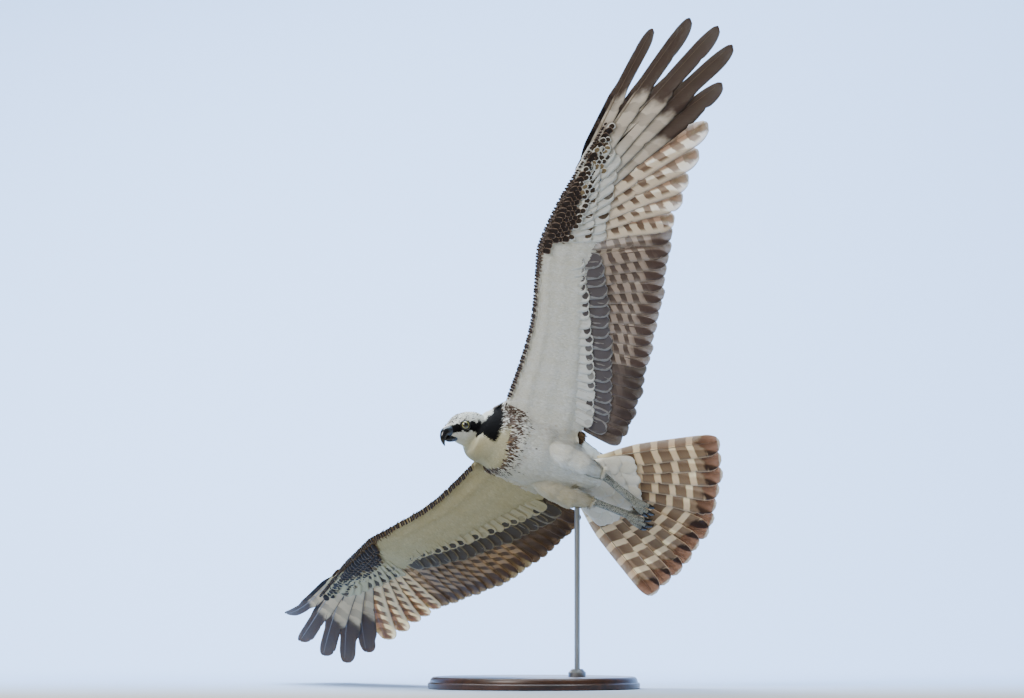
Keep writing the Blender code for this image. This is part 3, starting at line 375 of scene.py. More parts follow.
class Shading:
    """One material's node tree, with short calls for the nodes that the finishes use."""

    def __init__(self, name: str) -> None:
        """Makes the material with its Principled shader."""
        self.material = bpy.data.materials.new(name)
        self.material.use_nodes = True
        self.tree = self.material.node_tree
        self.shader = self.tree.nodes["Principled BSDF"]

    def feed(self, socket: bpy.types.NodeSocket, value: object) -> None:
        """Links a socket's source, or writes its constant."""
        if isinstance(value, Value):
            self.tree.links.new(value.socket, socket)
        elif isinstance(value, tuple) and socket.type == "RGBA":
            socket.default_value = (*value, 1.0)
        else:
            socket.default_value = value

    def node(self, kind: str, inputs: dict, output: int | str = 0, **settings: str) -> Value:
        """Adds a node.

        Args:
            kind: Its type, without the first word.
            inputs: What each of its sockets is fed with.
            output: Which of its outputs is wanted.
            settings: Its own settings.

        Returns:
            The output.
        """
        node = self.tree.nodes.new("ShaderNode" + kind)
        for name, value in settings.items():
            setattr(node, name, value)
        for key, value in inputs.items():
            self.feed(node.inputs[key], value)
        return Value(self, node.outputs[output])

    def math(self, operation: str, a: object, b: object = 0.0) -> Value:
        """The result of one arithmetic step."""
        return self.node("Math", {0: a, 1: b}, operation=operation)

    def rise(self, value: Value, low: float, high: float) -> Value:
        """A smooth step from 0 at low to 1 at high."""
        return self.node("MapRange", {0: value, 1: low, 2: high}, interpolation_type="SMOOTHSTEP")

    def blend(self, share: object, a: object, b: object, mode: str = "MIX") -> Value:
        """A colour a share of the way from a to b."""
        return self.node("Mix", {0: share, 6: a, 7: b}, 2, data_type="RGBA", blend_type=mode)

    def shade(self, colour: object, by: Value) -> Value:
        """A colour made lighter or darker."""
        return self.blend(1.0, colour, self.vector(by, by, by), "MULTIPLY")

    def place(self) -> Value:
        """The point's place on the object."""
        return self.node("TexCoord", {}, "Object")

    def noise(self, scale: float, detail: float = 2.0, where: Value | None = None, rough: float = 0.5) -> Value:
        """A soft random value from 0 to 1."""
        fed = {"Scale": scale, "Detail": detail, "Roughness": rough, "Vector": where or self.place()}
        return self.node("TexNoise", fed)

    def vector(self, x: object, y: object, z: object = 0.0) -> Value:
        """Three values as one vector."""
        return self.node("CombineXYZ", {0: x, 1: y, 2: z})

    def split(self, vector: Value) -> list[Value]:
        """A vector's three values."""
        first = self.node("SeparateXYZ", {0: vector})
        return [Value(self, output) for output in first.socket.node.outputs]

    def attribute(self, name: str, output: str = "Fac") -> Value:
        """A value or colour that the mesh carries."""
        return self.node("Attribute", {}, output, attribute_name=name)

    def vane(self) -> tuple[Value, Value, Value]:
        """Where a point is across and along its feather, and the feather's own random value."""
        u, v, _ = self.split(self.node("UVMap", {}, uv_map="Vane"))
        return u, v, self.attribute("tone")

    def bump(self, height: Value, strength: float, distance: float) -> None:
        """Raises the surface a little by a height from 0 to 1."""
        fed = {"Strength": strength, "Distance": distance, "Height": height}
        self.feed(self.shader.inputs["Normal"], self.node("Bump", fed))

    def clear_behind(self) -> None:
        """Lets a sheet be seen through from its back."""
        back, clear = self.node("NewGeometry", {}, "Backfacing"), self.node("BsdfTransparent", {})
        mix = self.node("MixShader", {0: back, 1: Value(self, self.shader.outputs[0]), 2: clear})
        self.feed(self.tree.nodes["Material Output"].inputs["Surface"], mix)

    def finish(self, colour: Value, roughness: object, **constants: float) -> Material:
        """Feeds the shader.

        Args:
            colour: The base colour.
            roughness: The roughness.
            constants: Other inputs of the shader, with underscores for the spaces in their names.

        Returns:
            The material.
        """
        for name, value in {"Base_Color": colour, "Roughness": roughness, **constants}.items():
            self.feed(self.shader.inputs[name.replace("_", " ")], value)
        return self.material

    def feather(
        self, colour: Value, barbs: Value, finish: "FlightFinish | CovertFinish", depth: float, **constants: float
    ) -> Material:
        """Feeds the shader of a feather that lets light through.

        Args:
            colour: The base colour.
            barbs: How high its barbs stand.
            finish: Gives the share of light let through, and the painted shade that the colour is multiplied by.
            depth: How deep the barbs are.
            constants: Other inputs of the shader.

        Returns:
            The material.
        """
        self.bump(barbs, 0.35, depth)
        light = {"Subsurface_Weight": finish.glow, "Subsurface_Scale": 0.003, "Subsurface_Radius": FEATHER_GLOW}
        return self.finish(self.blend(1.0, colour, finish.painted_shade, "MULTIPLY"), **constants, **light)


@dataclass(frozen=True)
class FlightFinish:
    """The finish of a long feather: barred inner web, plainer outer web, dark tip and thin pale edge."""

    name: str
    pale: Colour
    bar: Colour
    outer: Colour
    tip: Colour
    edge: Colour = hue(176, 160, 148)
    bars: float = 8.0
    bar_level: float = 0.1
    bar_strength: float = 0.9
    inner_fade: float = 0.6
    fade_from: float = 0.18
    fade_over: float = 0.32
    bars_from: float = 0.10
    tip_from: float = 0.85
    tip_soft: float = 0.06
    shaft: float = 0.32
    glow: float = 0.55
    wander: float = 0.45
    slant: float = -0.35
    outer_from: float = 0.25
    stagger: float = 0.35
    tip_slant: float = 0.10
    base: Colour = CLEAR
    # Painted shade: the colours are multiplied by this tint, darker and more olive on the wing that lies in
    # shadow.
    painted_shade: Colour = CLEAR

    def make(self) -> Material:
        """Builds the material."""
        s = Shading(self.name)
        u, v, tone = s.vane()
        aside = abs(u - self.shaft)
        wander = s.noise(2.2, 2.0, s.vector(u * 1.6, v * 7.0, tone * 31.0)) - 0.5
        phase = v * self.bars + wander * self.wander + tone * self.stagger + aside * self.slant
        bar = s.rise(s.math("SINE", phase * (2 * pi)), self.bar_level - 0.22, self.bar_level + 0.22)
        faded = self.shaft + self.fade_from
        bar = bar * (1.0 - s.rise(u, faded, faded + self.fade_over) * self.inner_fade)
        bar = bar * s.rise(v, self.bars_from, self.bars_from + 0.15) * self.bar_strength
        ground = s.blend(s.rise(v, 0.10, 0.38), self.base, self.pale)
        outer = s.blend(s.rise(v, self.outer_from, self.outer_from + 0.30), ground, self.outer)
        inner = s.rise(u - v * 0.08, self.shaft - 0.04, self.shaft + 0.03)
        colour = s.blend(bar, s.blend(inner, outer, ground), self.bar)
        reach = v + wander * 0.10 + aside * -self.tip_slant
        colour = s.blend(s.rise(reach, self.tip_from, self.tip_from + self.tip_soft), colour, self.tip)
        fringe = s.math("MAXIMUM", s.rise(u, 0.955, 0.995), s.rise(v, 0.975, 0.998))
        fringe = s.math("MAXIMUM", fringe, 1.0 - s.rise(u, 0.005, 0.03))
        colour = s.blend(fringe * 0.75, colour, self.edge)
        barbs = s.noise(1.0, 3.0, s.vector(u * 1.5, v * 210.0 - aside * 34.0, tone * 17.0))
        colour = s.shade(colour, barbs * 0.34 + 0.80 + (tone - 0.5) * 0.16)
        return s.feather(colour, barbs, self, 0.0008, roughness=0.62, Specular_IOR_Level=0.12)


@dataclass(frozen=True)
class CovertFinish:
    """The finish of a short rounded feather: a dark middle with a pale fringe, or a pale one with a spot."""

    name: str
    ground: Colour
    spot: Colour
    fringe: Colour
    spot_at: float = 0.60
    spot_half: float = 0.42
    spot_wide: float = 0.44
    spot_soft: float = 0.16
    fringe_wide: float = 0.07
    vary: float = 0.2
    glow: float = 0.25
    # Painted shade: the colours are multiplied by this tint, darker and more olive on the wing that lies in
    # shadow.
    painted_shade: Colour = CLEAR

    def make(self) -> Material:
        """Builds the material."""
        s = Shading(self.name)
        u, v, tone = s.vane()
        wander = s.noise(2.0, 2.0, s.vector(u * 2.0, v * 4.0, tone * 23.0)) - 0.5
        across = abs((u - 0.48) / self.spot_wide) ** 2.4
        along = abs((v - self.spot_at) / self.spot_half) ** 2.4
        spot = 1.0 - s.rise(across + along + wander * 0.7, 1.0 - self.spot_soft, 1.0 + self.spot_soft)
        colour = s.blend(spot * s.rise(tone, self.vary - 0.25, self.vary + 0.15), self.ground, self.spot)
        sides = s.rise(abs(u - 0.5) * 2.0, 1.0 - 2 * self.fringe_wide, 1.0)
        edge = s.math("MAXIMUM", sides, s.rise(v, 1 - self.fringe_wide, 1.0)) * s.rise(v, 0.2, 0.5)
        colour = s.blend(edge * 0.9, colour, self.fringe)
        barbs = s.noise(1.0, 3.0, s.vector(u * 1.5, v * 80.0 - abs(u - 0.45) * 26.0, tone * 17.0))
        colour = s.shade(colour, barbs * 0.32 + 0.82)
        return s.feather(colour, barbs, self, 0.0006, roughness=0.7, Specular_IOR_Level=0.2, Sheen_Weight=0.1)


@dataclass(frozen=True)
class CoatFinish:
    """The finish of small soft feathers, whose markings the mesh carries."""

    name: str = "soft_feathers"

    def make(self) -> Material:
        """Builds the material."""
        s = Shading(self.name)
        colour = s.shade(s.attribute("markings", "Color"), s.noise(700.0, 3.0) * 0.34 + 0.82)
        return s.finish(colour, 0.85, Specular_IOR_Level=0.12, Sheen_Weight=0.03, Sheen_Roughness=0.5)


@dataclass(frozen=True)
class HornFinish:
    """The finish of bill, shafts and talons: smooth horn that turns duller and paler towards its root."""

    name: str
    colour: Colour
    root: Colour
    root_from: float
    root_to: float
    roughness: float

    def make(self) -> Material:
        """Builds the material."""
        s = Shading(self.name)
        streak = s.noise(240.0, 3.0)
        share = s.rise(s.attribute("along") + streak * 0.1, self.root_from, self.root_to)
        s.bump(streak, 0.12, 0.0004)
        rough = (1.0 - share) * 0.30 + self.roughness + streak * 0.12
        return s.finish(s.blend(share, self.root, self.colour), rough, Coat_Weight=0.35, Coat_Roughness=0.12)


@dataclass(frozen=True)
class EyeFinish:
    """The finish of an eyeball: black pupil, yellow iris with a dark rim, and dark outside it."""

    name: str = "eye_wet"
    iris: Colour = hue(164, 160, 108)
    iris_inner: Colour = hue(120, 112, 62)
    dark: Colour = hue(14, 12, 12)
    pupil_edge: float = 0.870
    iris_edge: float = 0.650

    def make(self) -> Material:
        """Builds the material; the mesh carries how squarely each point faces along the gaze."""
        s = Shading(self.name)
        gaze = s.attribute("gaze")
        ring = s.rise(gaze, self.iris_edge + 0.05, self.pupil_edge)
        colour = s.blend(ring * (s.noise(1400.0, 2.0) * 0.9), self.iris, self.iris_inner)
        colour = s.blend(s.rise(gaze, self.pupil_edge - 0.008, self.pupil_edge + 0.008), colour, self.dark)
        colour = s.blend(s.rise(gaze, self.iris_edge - 0.03, self.iris_edge + 0.03), self.dark, colour)
        return s.finish(colour, 0.08, Coat_Weight=1.0, Coat_Roughness=0.03, Specular_IOR_Level=0.6)


@dataclass(frozen=True)
class ScaleFinish:
    """The finish of bare legs and lids: small hard scales with darker grooves."""

    name: str
    colour: Colour
    groove: Colour
    scales: float = 620.0

    def make(self) -> Material:
        """Builds the material."""
        s = Shading(self.name)
        cells = s.node("TexVoronoi", {"Scale": self.scales, "Vector": s.place()}, feature="DISTANCE_TO_EDGE")
        edge = s.rise(cells, 0.02, 0.22)
        colour = s.shade(s.blend(edge, self.groove, self.colour), s.noise(120.0, 3.0) * 0.7 + 0.66)
        s.bump(edge, 0.8, 0.0012)
        return s.finish(colour, 0.75 - edge * 0.25, Specular_IOR_Level=0.4)


@dataclass(frozen=True)
class WoodFinish:
    """The finish of the turned base: dark satin wood with grain along X."""

    name: str = "dark_wood"
    dark: Colour = hue(58, 38, 26)
    light: Colour = hue(104, 70, 46)

    def make(self) -> Material:
        """Builds the material."""
        s = Shading(self.name)
        x, y, z = s.split(s.place())
        rings = s.noise(38.0, 6.0, s.vector(x * 0.12, y, z), 0.62)
        pores = s.noise(900.0, 2.0, s.vector(x * 0.05, y, z))
        colour = s.blend(s.rise(rings * 0.8 + pores * 0.25, 0.35, 0.68), self.dark, self.light)
        s.bump(pores, 0.15, 0.0003)
        return s.finish(colour, pores * 0.2 + 0.30, Coat_Weight=0.25, Coat_Roughness=0.25)


@dataclass(frozen=True)
class SteelFinish:
    """The finish of the rod and collar: satin steel turned round its axis."""

    name: str = "satin_steel"
    colour: Colour = hue(196, 198, 202)
    turned: Colour = hue(150, 152, 158)

    def make(self) -> Material:
        """Builds the material."""
        s = Shading(self.name)
        x, y, z = s.split(s.place())
        turning = s.noise(1.0, 3.0, s.vector(x * 20.0, y * 20.0, z * 3000.0))
        s.bump(turning, 0.12, 0.0002)
        return s.finish(s.blend(turning * 0.3, self.colour, self.turned), turning * 0.22 + 0.22, Metallic=1.0)


@dataclass(frozen=True)
class SweepFinish:
    """The finish of floor and backdrop: matt, pale, warmer well in front of the stand, and clear from its back."""

    name: str = "pale_sweep"
    colour: Colour = hue(196, 220, 255)
    near: Colour = hue(202, 192, 164)
    near_to: float = 0.9
    near_over: float = 2.4

    def make(self) -> Material:
        """Builds the material."""
        s = Shading(self.name)
        share = s.rise(s.split(s.place())[1], self.near_to - self.near_over, self.near_to)
        colour = s.shade(s.blend(share, self.near, self.colour), s.noise(0.8, 2.0) * 0.02 + 0.99)
        s.clear_behind()
        return s.finish(colour, 0.9, Specular_IOR_Level=0.1)


@dataclass
class MeshParts:
    """Points, faces and what they carry, gathered before they become one piece."""

    points: list[Array] = field(default_factory=list)
    faces: list[Array] = field(default_factory=list)
    slots: list[Array] = field(default_factory=list)
    carried: dict[str, list[Array]] = field(default_factory=dict)
    maps: dict[str, list[Array]] = field(default_factory=dict)
    facing: list[Array] = field(default_factory=list)
    count: int = 0

    def add(
        self, points: Array, faces: Array, slots: Array | int = 0,
        carried: dict[str, Array] | None = None, maps: dict[str, Array] | None = None,
    ) -> None:
        """Adds one more form.

        Args:
            points: Its points in the bird's frame.
            faces: Its faces, all with as many corners as those added before.
            slots: Which material each face has.
            carried: Values or colours by name, one for each point.
            maps: Texture maps by name, one pair for each point.
        """
        self.points.append(points)
        self.faces.append(faces + self.count)
        self.slots.append(np.broadcast_to(np.asarray(slots), (len(faces),)))
        for kept, given in ((self.carried, carried), (self.maps, maps)):
            for name, values in (given or {}).items():
                kept.setdefault(name, []).append(values)
        self.count += len(points)

    def _outward(self, points: Array, faces: Array) -> bool:
        """Whether the faces of one closed form already look out of it."""
        a, b, c = (points[faces[:, i]] - points[faces[0, 0]] for i in range(3))
        volume = np.einsum("ij,ij->i", np.cross(a, b), c)
        if faces.shape[1] == 4:
            volume = volume + np.einsum("ij,ij->i", np.cross(a, c), points[faces[:, 3]] - points[faces[0, 0]])
        return volume.sum() >= 0

    def build(self, name: str, finishes: Sequence[Material], slot: str, in_bird: bool = True) -> Object:
        """Makes the piece, turns its faces out, and hangs it on the model's one body.

        Args:
            name: The piece's name.
            finishes: Its materials, in the order of the slots.
            slot: The record's material slot that it belongs to; not used.
            in_bird: Whether the points are in the bird's frame.

        Returns:
            The piece.
        """
        points = np.concatenate(self.points)
        points = BIRD.to_world(points) if in_bird else points
        facing = np.concatenate(self.facing) @ BIRD.axes() if self.facing else None
        turned = []
        for faces in self.faces:
            outward = self._outward(points, faces)
            turned.append(faces if outward else faces[:, ::-1])
            if facing is not None and not outward:
                facing = facing[:, ::-1]
        faces = np.concatenate(turned)
        mesh = bpy.data.meshes.new(name)
        mesh.vertices.add(len(points))
        mesh.vertices.foreach_set("co", points.astype(np.float32).ravel())
        mesh.loops.add(faces.size)
        mesh.loops.foreach_set("vertex_index", faces.astype(np.int32).ravel())
        mesh.polygons.add(len(faces))
        mesh.polygons.foreach_set("loop_start", np.arange(0, faces.size, faces.shape[1], dtype=np.int32))
        mesh.polygons.foreach_set("material_index", np.concatenate(self.slots).astype(np.int32))
        mesh.update(calc_edges=True)
        for key, values in self.maps.items():
            pairs = np.concatenate(values)[faces.ravel()]
            mesh.uv_layers.new(name=key).data.foreach_set("uv", pairs.astype(np.float32).ravel())
        for key, values in self.carried.items():
            carry(mesh, key, np.concatenate(values))
        mesh.shade_smooth()
        if facing is not None:
            mesh.normals_split_custom_set(unit(facing).reshape(-1, 3).tolist())
        for finish in finishes:
            mesh.materials.append(finish)
        piece = put(name, mesh)
        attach(piece, "root")
        LOG.info("%s: %d faces", name, len(faces))
        return piece


def carry(mesh: bpy.types.Mesh, name: str, values: Array) -> None:
    """Writes a value or a colour on each point of a mesh."""
    kind, key = ("FLOAT_COLOR", "color") if values.ndim == 2 else ("FLOAT", "value")
    mesh.attributes.new(name, kind, "POINT").data.foreach_set(key, values.astype(np.float32).ravel())


def ring_faces(rings: int, sides: int) -> Array:
    """Four-cornered faces between rings of points that follow each other."""
    r, k = np.meshgrid(np.arange(rings - 1), np.arange(sides), indexing="ij")
    a, b = r * sides + k, r * sides + (k + 1) % sides
    return np.stack([a, b, b + sides, a + sides], axis=-1).reshape(-1, 4)


def closed(rings: Sequence[Array], first: Array, last: Array) -> tuple[Array, Array]:
    """Points and faces of a form through rings, drawn in to a point at both ends."""
    sides = len(rings[0])
    every = [np.tile(first, (sides, 1)), *rings, np.tile(last, (sides, 1))]
    return np.concatenate(every), ring_faces(len(every), sides)


def along_rings(shares: Array, sides: int) -> Array:
    """How far along a closed form each of its points is."""
    return np.repeat(np.concatenate([[0.0], shares, [1.0]]), sides)


def full_turn(sides: int) -> Array:
    """The angles of points round a ring."""
    return np.linspace(0, 2 * pi, sides, endpoint=False)


def soften(line: Array, times: int) -> Array:
    """A line with each inner point drawn towards its neighbours."""
    for _ in range(times):
        line[1:-1] = (line[:-2] + 2 * line[1:-1] + line[2:]) / 4
    return line


def tube(path: Array, radii: Array, sides: int, flat: float = 1.0) -> tuple[Array, Array]:
    """A closed round form along a path, with its ends drawn in to a point.

    Args:
        path: The centre line, one point to a row.
        radii: The radius at each point.
        sides: How many points go round it.
        flat: Its height as a share of its width.

    Returns:
        Points and four-cornered faces.
    """
    ahead = unit(np.gradient(path, axis=0))
    side = np.cross(ahead[0], [0.0, 0.0, 1.0])
    if np.linalg.norm(side) < 0.2:
        side = np.cross(ahead[0], [0.0, 1.0, 0.0])
    turns, rings = full_turn(sides), []
    for spot, way, radius in zip(path, ahead, radii):
        side = unit(side - way * (side @ way))
        up = np.cross(way, side)
        rings.append(spot + radius * (np.outer(np.cos(turns), side) + np.outer(np.sin(turns) * flat, up)))
    return closed(rings, path[0], path[-1])


@dataclass(frozen=True)
class Blade:
    """The outline of a long feather."""

    width: float
    outer_share: float = 0.32
    quill: float = 0.005
    full_at: float = 0.22
    blunt: float = 0.80
    tip: float = 0.004
    finger: float = 0.0
    finger_from: float = 1.0
    finger_over: float = 0.12

    def reaches(self, t: Array) -> tuple[Array, Array]:
        """How far the outer and the inner edge are from the shaft, at shares of the length."""
        full = self.quill + (self.width - self.quill) * ease(t, 0.0, self.full_at) ** 0.8
        if self.finger:
            narrow = ease(t, self.finger_from, self.finger_from + self.finger_over)
            full = full + (self.finger - full) * narrow
        end = np.clip((t - self.blunt) / (1 - self.blunt), 0.0, 1.0)
        close = np.sqrt(np.maximum(0.0, 1 - end**2.2))
        full = self.tip + (full - self.tip) * close
        return full * self.outer_share, full * (1 - self.outer_share)


@dataclass
class VaneSet:
    """A row of long feathers that becomes one piece, with their shafts as another."""

    place: Place
    cells: int
    rng: Random
    rows: int = 34
    columns: int = 9
    thick: float = 0.0004
    vanes: MeshParts = field(default_factory=MeshParts)
    shafts: MeshParts = field(default_factory=MeshParts)
    made: int = 0

    def add(
        self, blade: Blade, root: Sequence[float], tip: Sequence[float], height: float = 0.0, tilt: float = 0.0,
        arch: float = 0.0012, curl: float = 0.0, bow: float = 0.0, splits: int = 3, shaft: float = 0.0011,
        rise: float = 0.0,
    ) -> None:
        """Adds one feather.

        Args:
            blade: Its outline.
            root: Where its quill starts in the plan, ahead and out.
            tip: Where it ends in the plan.
            height: How far its shaft lies above the plan.
            tilt: How much higher its outer edge is than its inner one, for each metre across.
            arch: How far its middle stands above its edges.
            curl: How far its tip bends up.
            bow: How far its middle bends ahead.
            splits: How many small splits its edges have.
            shaft: The radius of its shaft at the root.
            rise: How much higher its tip lies than its root.
        """
        root_at, line = np.array(root, float), np.array(tip, float) - np.array(root, float)
        across = unit(np.array([line[1], -line[0]]))
        across = -across if across[0] < 0 else across
        t, c = np.linspace(0.0, 1.0, self.rows) ** 0.92, np.linspace(1.0, -1.0, self.columns)
        outer, inner = blade.reaches(t)
        for _ in range(splits):
            spot, depth = self.rng.uniform(0.35, 0.97), self.rng.uniform(0.04, 0.13)
            notch = 1 - depth * np.exp(-(((t - spot) / 0.012) ** 2))
            if self.rng.random() < 0.5:
                inner = inner * notch
            else:
                outer = outer * (1 - (1 - notch) * 0.5)
        reach = c[None, :] * np.where(c[None, :] > 0, outer[:, None], inner[:, None])
        full, ending = ease(t, 0.0, 0.3), ease(t, 0.8, 1.0)
        shear = 0.22 * np.abs(reach) * ease(t, 0.1, 0.5)[:, None] * (1 - ending)[:, None]
        centre = root_at + line * t[:, None] + across * (bow * 4 * t * (1 - t))[:, None]
        spots = centre[:, None, :] + across * reach[..., None] + unit(line) * shear[..., None]
        lift = curl * (np.maximum(0.0, t - 0.35) / 0.65) ** 2 + rise * t
        wave = 0.0005 * np.sin(t[:, None] * 9 + self.rng.uniform(0, 6)) * np.abs(c)[None, :]
        high = height + tilt * reach + arch * (1 - c**2)[None, :] * full[:, None] + lift[:, None] + wave
        half = self.thick / 2 * (1 - 0.6 * np.abs(c))[None, :] * (1 - 0.5 * ending)[:, None]
        grids = [self.place(spots[..., 0], spots[..., 1], high + sign * half) for sign in (1, -1)]
        self._add_vane(grids, t, c)
        middle = self.place(centre[:, 0], centre[:, 1], height + arch * full + lift)
        keep = t <= 0.965
        points, faces = tube(middle[keep], (shaft * (1 - 0.9 * t) ** 0.8)[keep], 6)
        self.shafts.add(points, faces, carried={"along": along_rings(t[keep], 6)})
        self.made += 1

    def _add_vane(self, grids: list[Array], t: Array, c: Array) -> None:
        """Closes the top and bottom sheets of a feather round their rim, and gives each its patch of the maps."""
        rows, columns = self.rows, self.columns
        size = rows * columns
        r, k = np.meshgrid(np.arange(rows - 1), np.arange(columns - 1), indexing="ij")
        a = r * columns + k
        top = np.stack([a, a + 1, a + columns + 1, a + columns], axis=-1).reshape(-1, 4)
        rim = np.arange(size).reshape(rows, columns)
        rim = np.concatenate([rim[0], rim[1:, -1], rim[-1, -2::-1], rim[-2:0:-1, 0]])
        onward = np.roll(rim, -1)
        edge = np.stack([rim, rim + size, onward + size, onward], axis=-1)
        faces = np.concatenate([top, top[:, ::-1] + size, edge])
        slots = (np.arange(len(faces)) < len(top)).astype(int)
        u, v = np.broadcast_to((1 - c) / 2, (rows, columns)).ravel(), np.repeat(t, columns)
        vane = np.tile(np.stack([u, v], axis=-1), (2, 1))
        cell = (self.made + 0.06 + 0.88 * u) / self.cells
        bake = np.concatenate([np.stack([cell, low + 0.48 * v], -1) for low in (0.51, 0.01)])
        tone = np.full(2 * size, self.rng.random())
        points = np.concatenate([grid.reshape(-1, 3) for grid in grids])
        self.vanes.add(points, faces, slots, {"tone": tone}, {"Vane": vane, "OFBake": bake})

    def build(self, name: str, under: Material, upper: Material, quill: Material, slot: str) -> Object:
        """Makes the row's two pieces, the vanes and their shafts.

        Args:
            name: The row's name.
            under: The finish of the feathers' undersides.
            upper: The finish of their upper sides.
            quill: The finish of their shafts.
            slot: The record's slot.

        Returns:
            The vanes.
        """
        vanes = self.vanes.build(name, [under, upper], slot)
        self.shafts.build(name + "_shafts", [quill], slot)
        return vanes


@dataclass(frozen=True)
class Tufts:
    """Small feathers to be set on the skin: where, which way, how big and in what colours."""

    roots: Array
    normals: Array
    lies: Array
    lengths: Array
    widths: Array
    base: Array
    tips: Array
    bake: Array
    lift: float
    curve: float = 0.20
    sink: float = 0.05
    body: float = 0.05
    round_off: float = 0.32

    def parts(self, rng: Random) -> MeshParts:
        """The closed little vanes, each with a root, a middle and a point, and a ridge along its back."""
        n, up = len(self.roots), self.normals
        lie = unit(self.lies - up * np.einsum("ij,ij->i", self.lies, up)[:, None])
        side = np.cross(lie, up)
        swing = rng.normal(0.0, 0.16, n)[:, None]
        lie, side = unit(lie + side * swing), unit(side - lie * swing)
        lift, sizes = self.lift * rng.uniform(0.6, 1.4, n), self.lengths * rng.uniform(0.8, 1.2, n)
        low = self.roots - up * (sizes * self.sink)[:, None]
        rings = []
        for t, wide, fat in ((0.0, 0.55, 0.5), (0.55, 1.0, 1.0)):
            at = low + lie * (sizes * t)[:, None] + up * (sizes * (lift * t - self.curve * lift * t * t))[:, None]
            half = side * (self.widths * wide / 2)[:, None]
            rings += [at + half, at - half, at + up * (self.widths * self.body * fat)[:, None]]
        tip = low + lie * sizes[:, None] + up * (sizes * lift * (1 - self.curve))[:, None]
        points = np.stack([*rings, tip], axis=1).reshape(-1, 3)
        faces = (np.arange(n)[:, None, None] * len(TUFT_ENDS) + TUFT_FACES).reshape(-1, 3)
        share = TUFT_TIPWARD[None, :, None]
        colours = self.base[:, None, :] * (1 - share) + self.tips[:, None, :] * share
        colours = np.concatenate([colours, np.ones((n, len(TUFT_ENDS), 1))], axis=-1).reshape(-1, 4)
        tilt = up[:, None, :] + side[:, None, :] * (TUFT_SIDES * self.round_off)[None, :, None]
        tilt = tilt + lie[:, None, :] * (TUFT_ENDS * 0.3)[None, :, None]
        made = MeshParts()
        made.facing.append((tilt[:, TUFT_FACES] * TUFT_LOWER[None, :, None, None]).reshape(-1, 3, 3))
        bake = (self.bake[:, None, :] + TUFT_BAKE[None]).reshape(-1, 2)
        made.add(points, faces, carried={"markings": colours}, maps={"OFBake": bake})
        return made


class Region(IntEnum):
    """What part of the skin a small feather grows on."""

    HEAD = 0
    NECK = 1
    TORSO = 2
    THIGH = 3
    LEFT_WING = 4
    RIGHT_WING = 5
    RUMP = 6


WINGS = ((LEFT_POSE, Region.LEFT_WING), (RIGHT_POSE, Region.RIGHT_WING))


@dataclass(frozen=True)
class Section:
    """One section of a body form: its place, half width, top and bottom."""

    ahead: float
    half: float
    top: float
    bottom: float
    aside: float = 0.0

    def ring(self, shrink: float, sides: int = 40, square: float = 2 / 2.2) -> Array:
        """The section's points, drawn in by the coat's depth."""
        c, s = np.cos(full_turn(sides)), np.sin(full_turn(sides))
        wide = (self.half - shrink) * np.sign(c) * np.abs(c) ** square
        tall = np.where(s > 0, self.top - shrink, -(self.bottom + shrink)) * np.sign(s) * np.abs(s) ** square
        return np.stack([np.full(sides, self.ahead), wide + self.aside, tall], axis=-1)


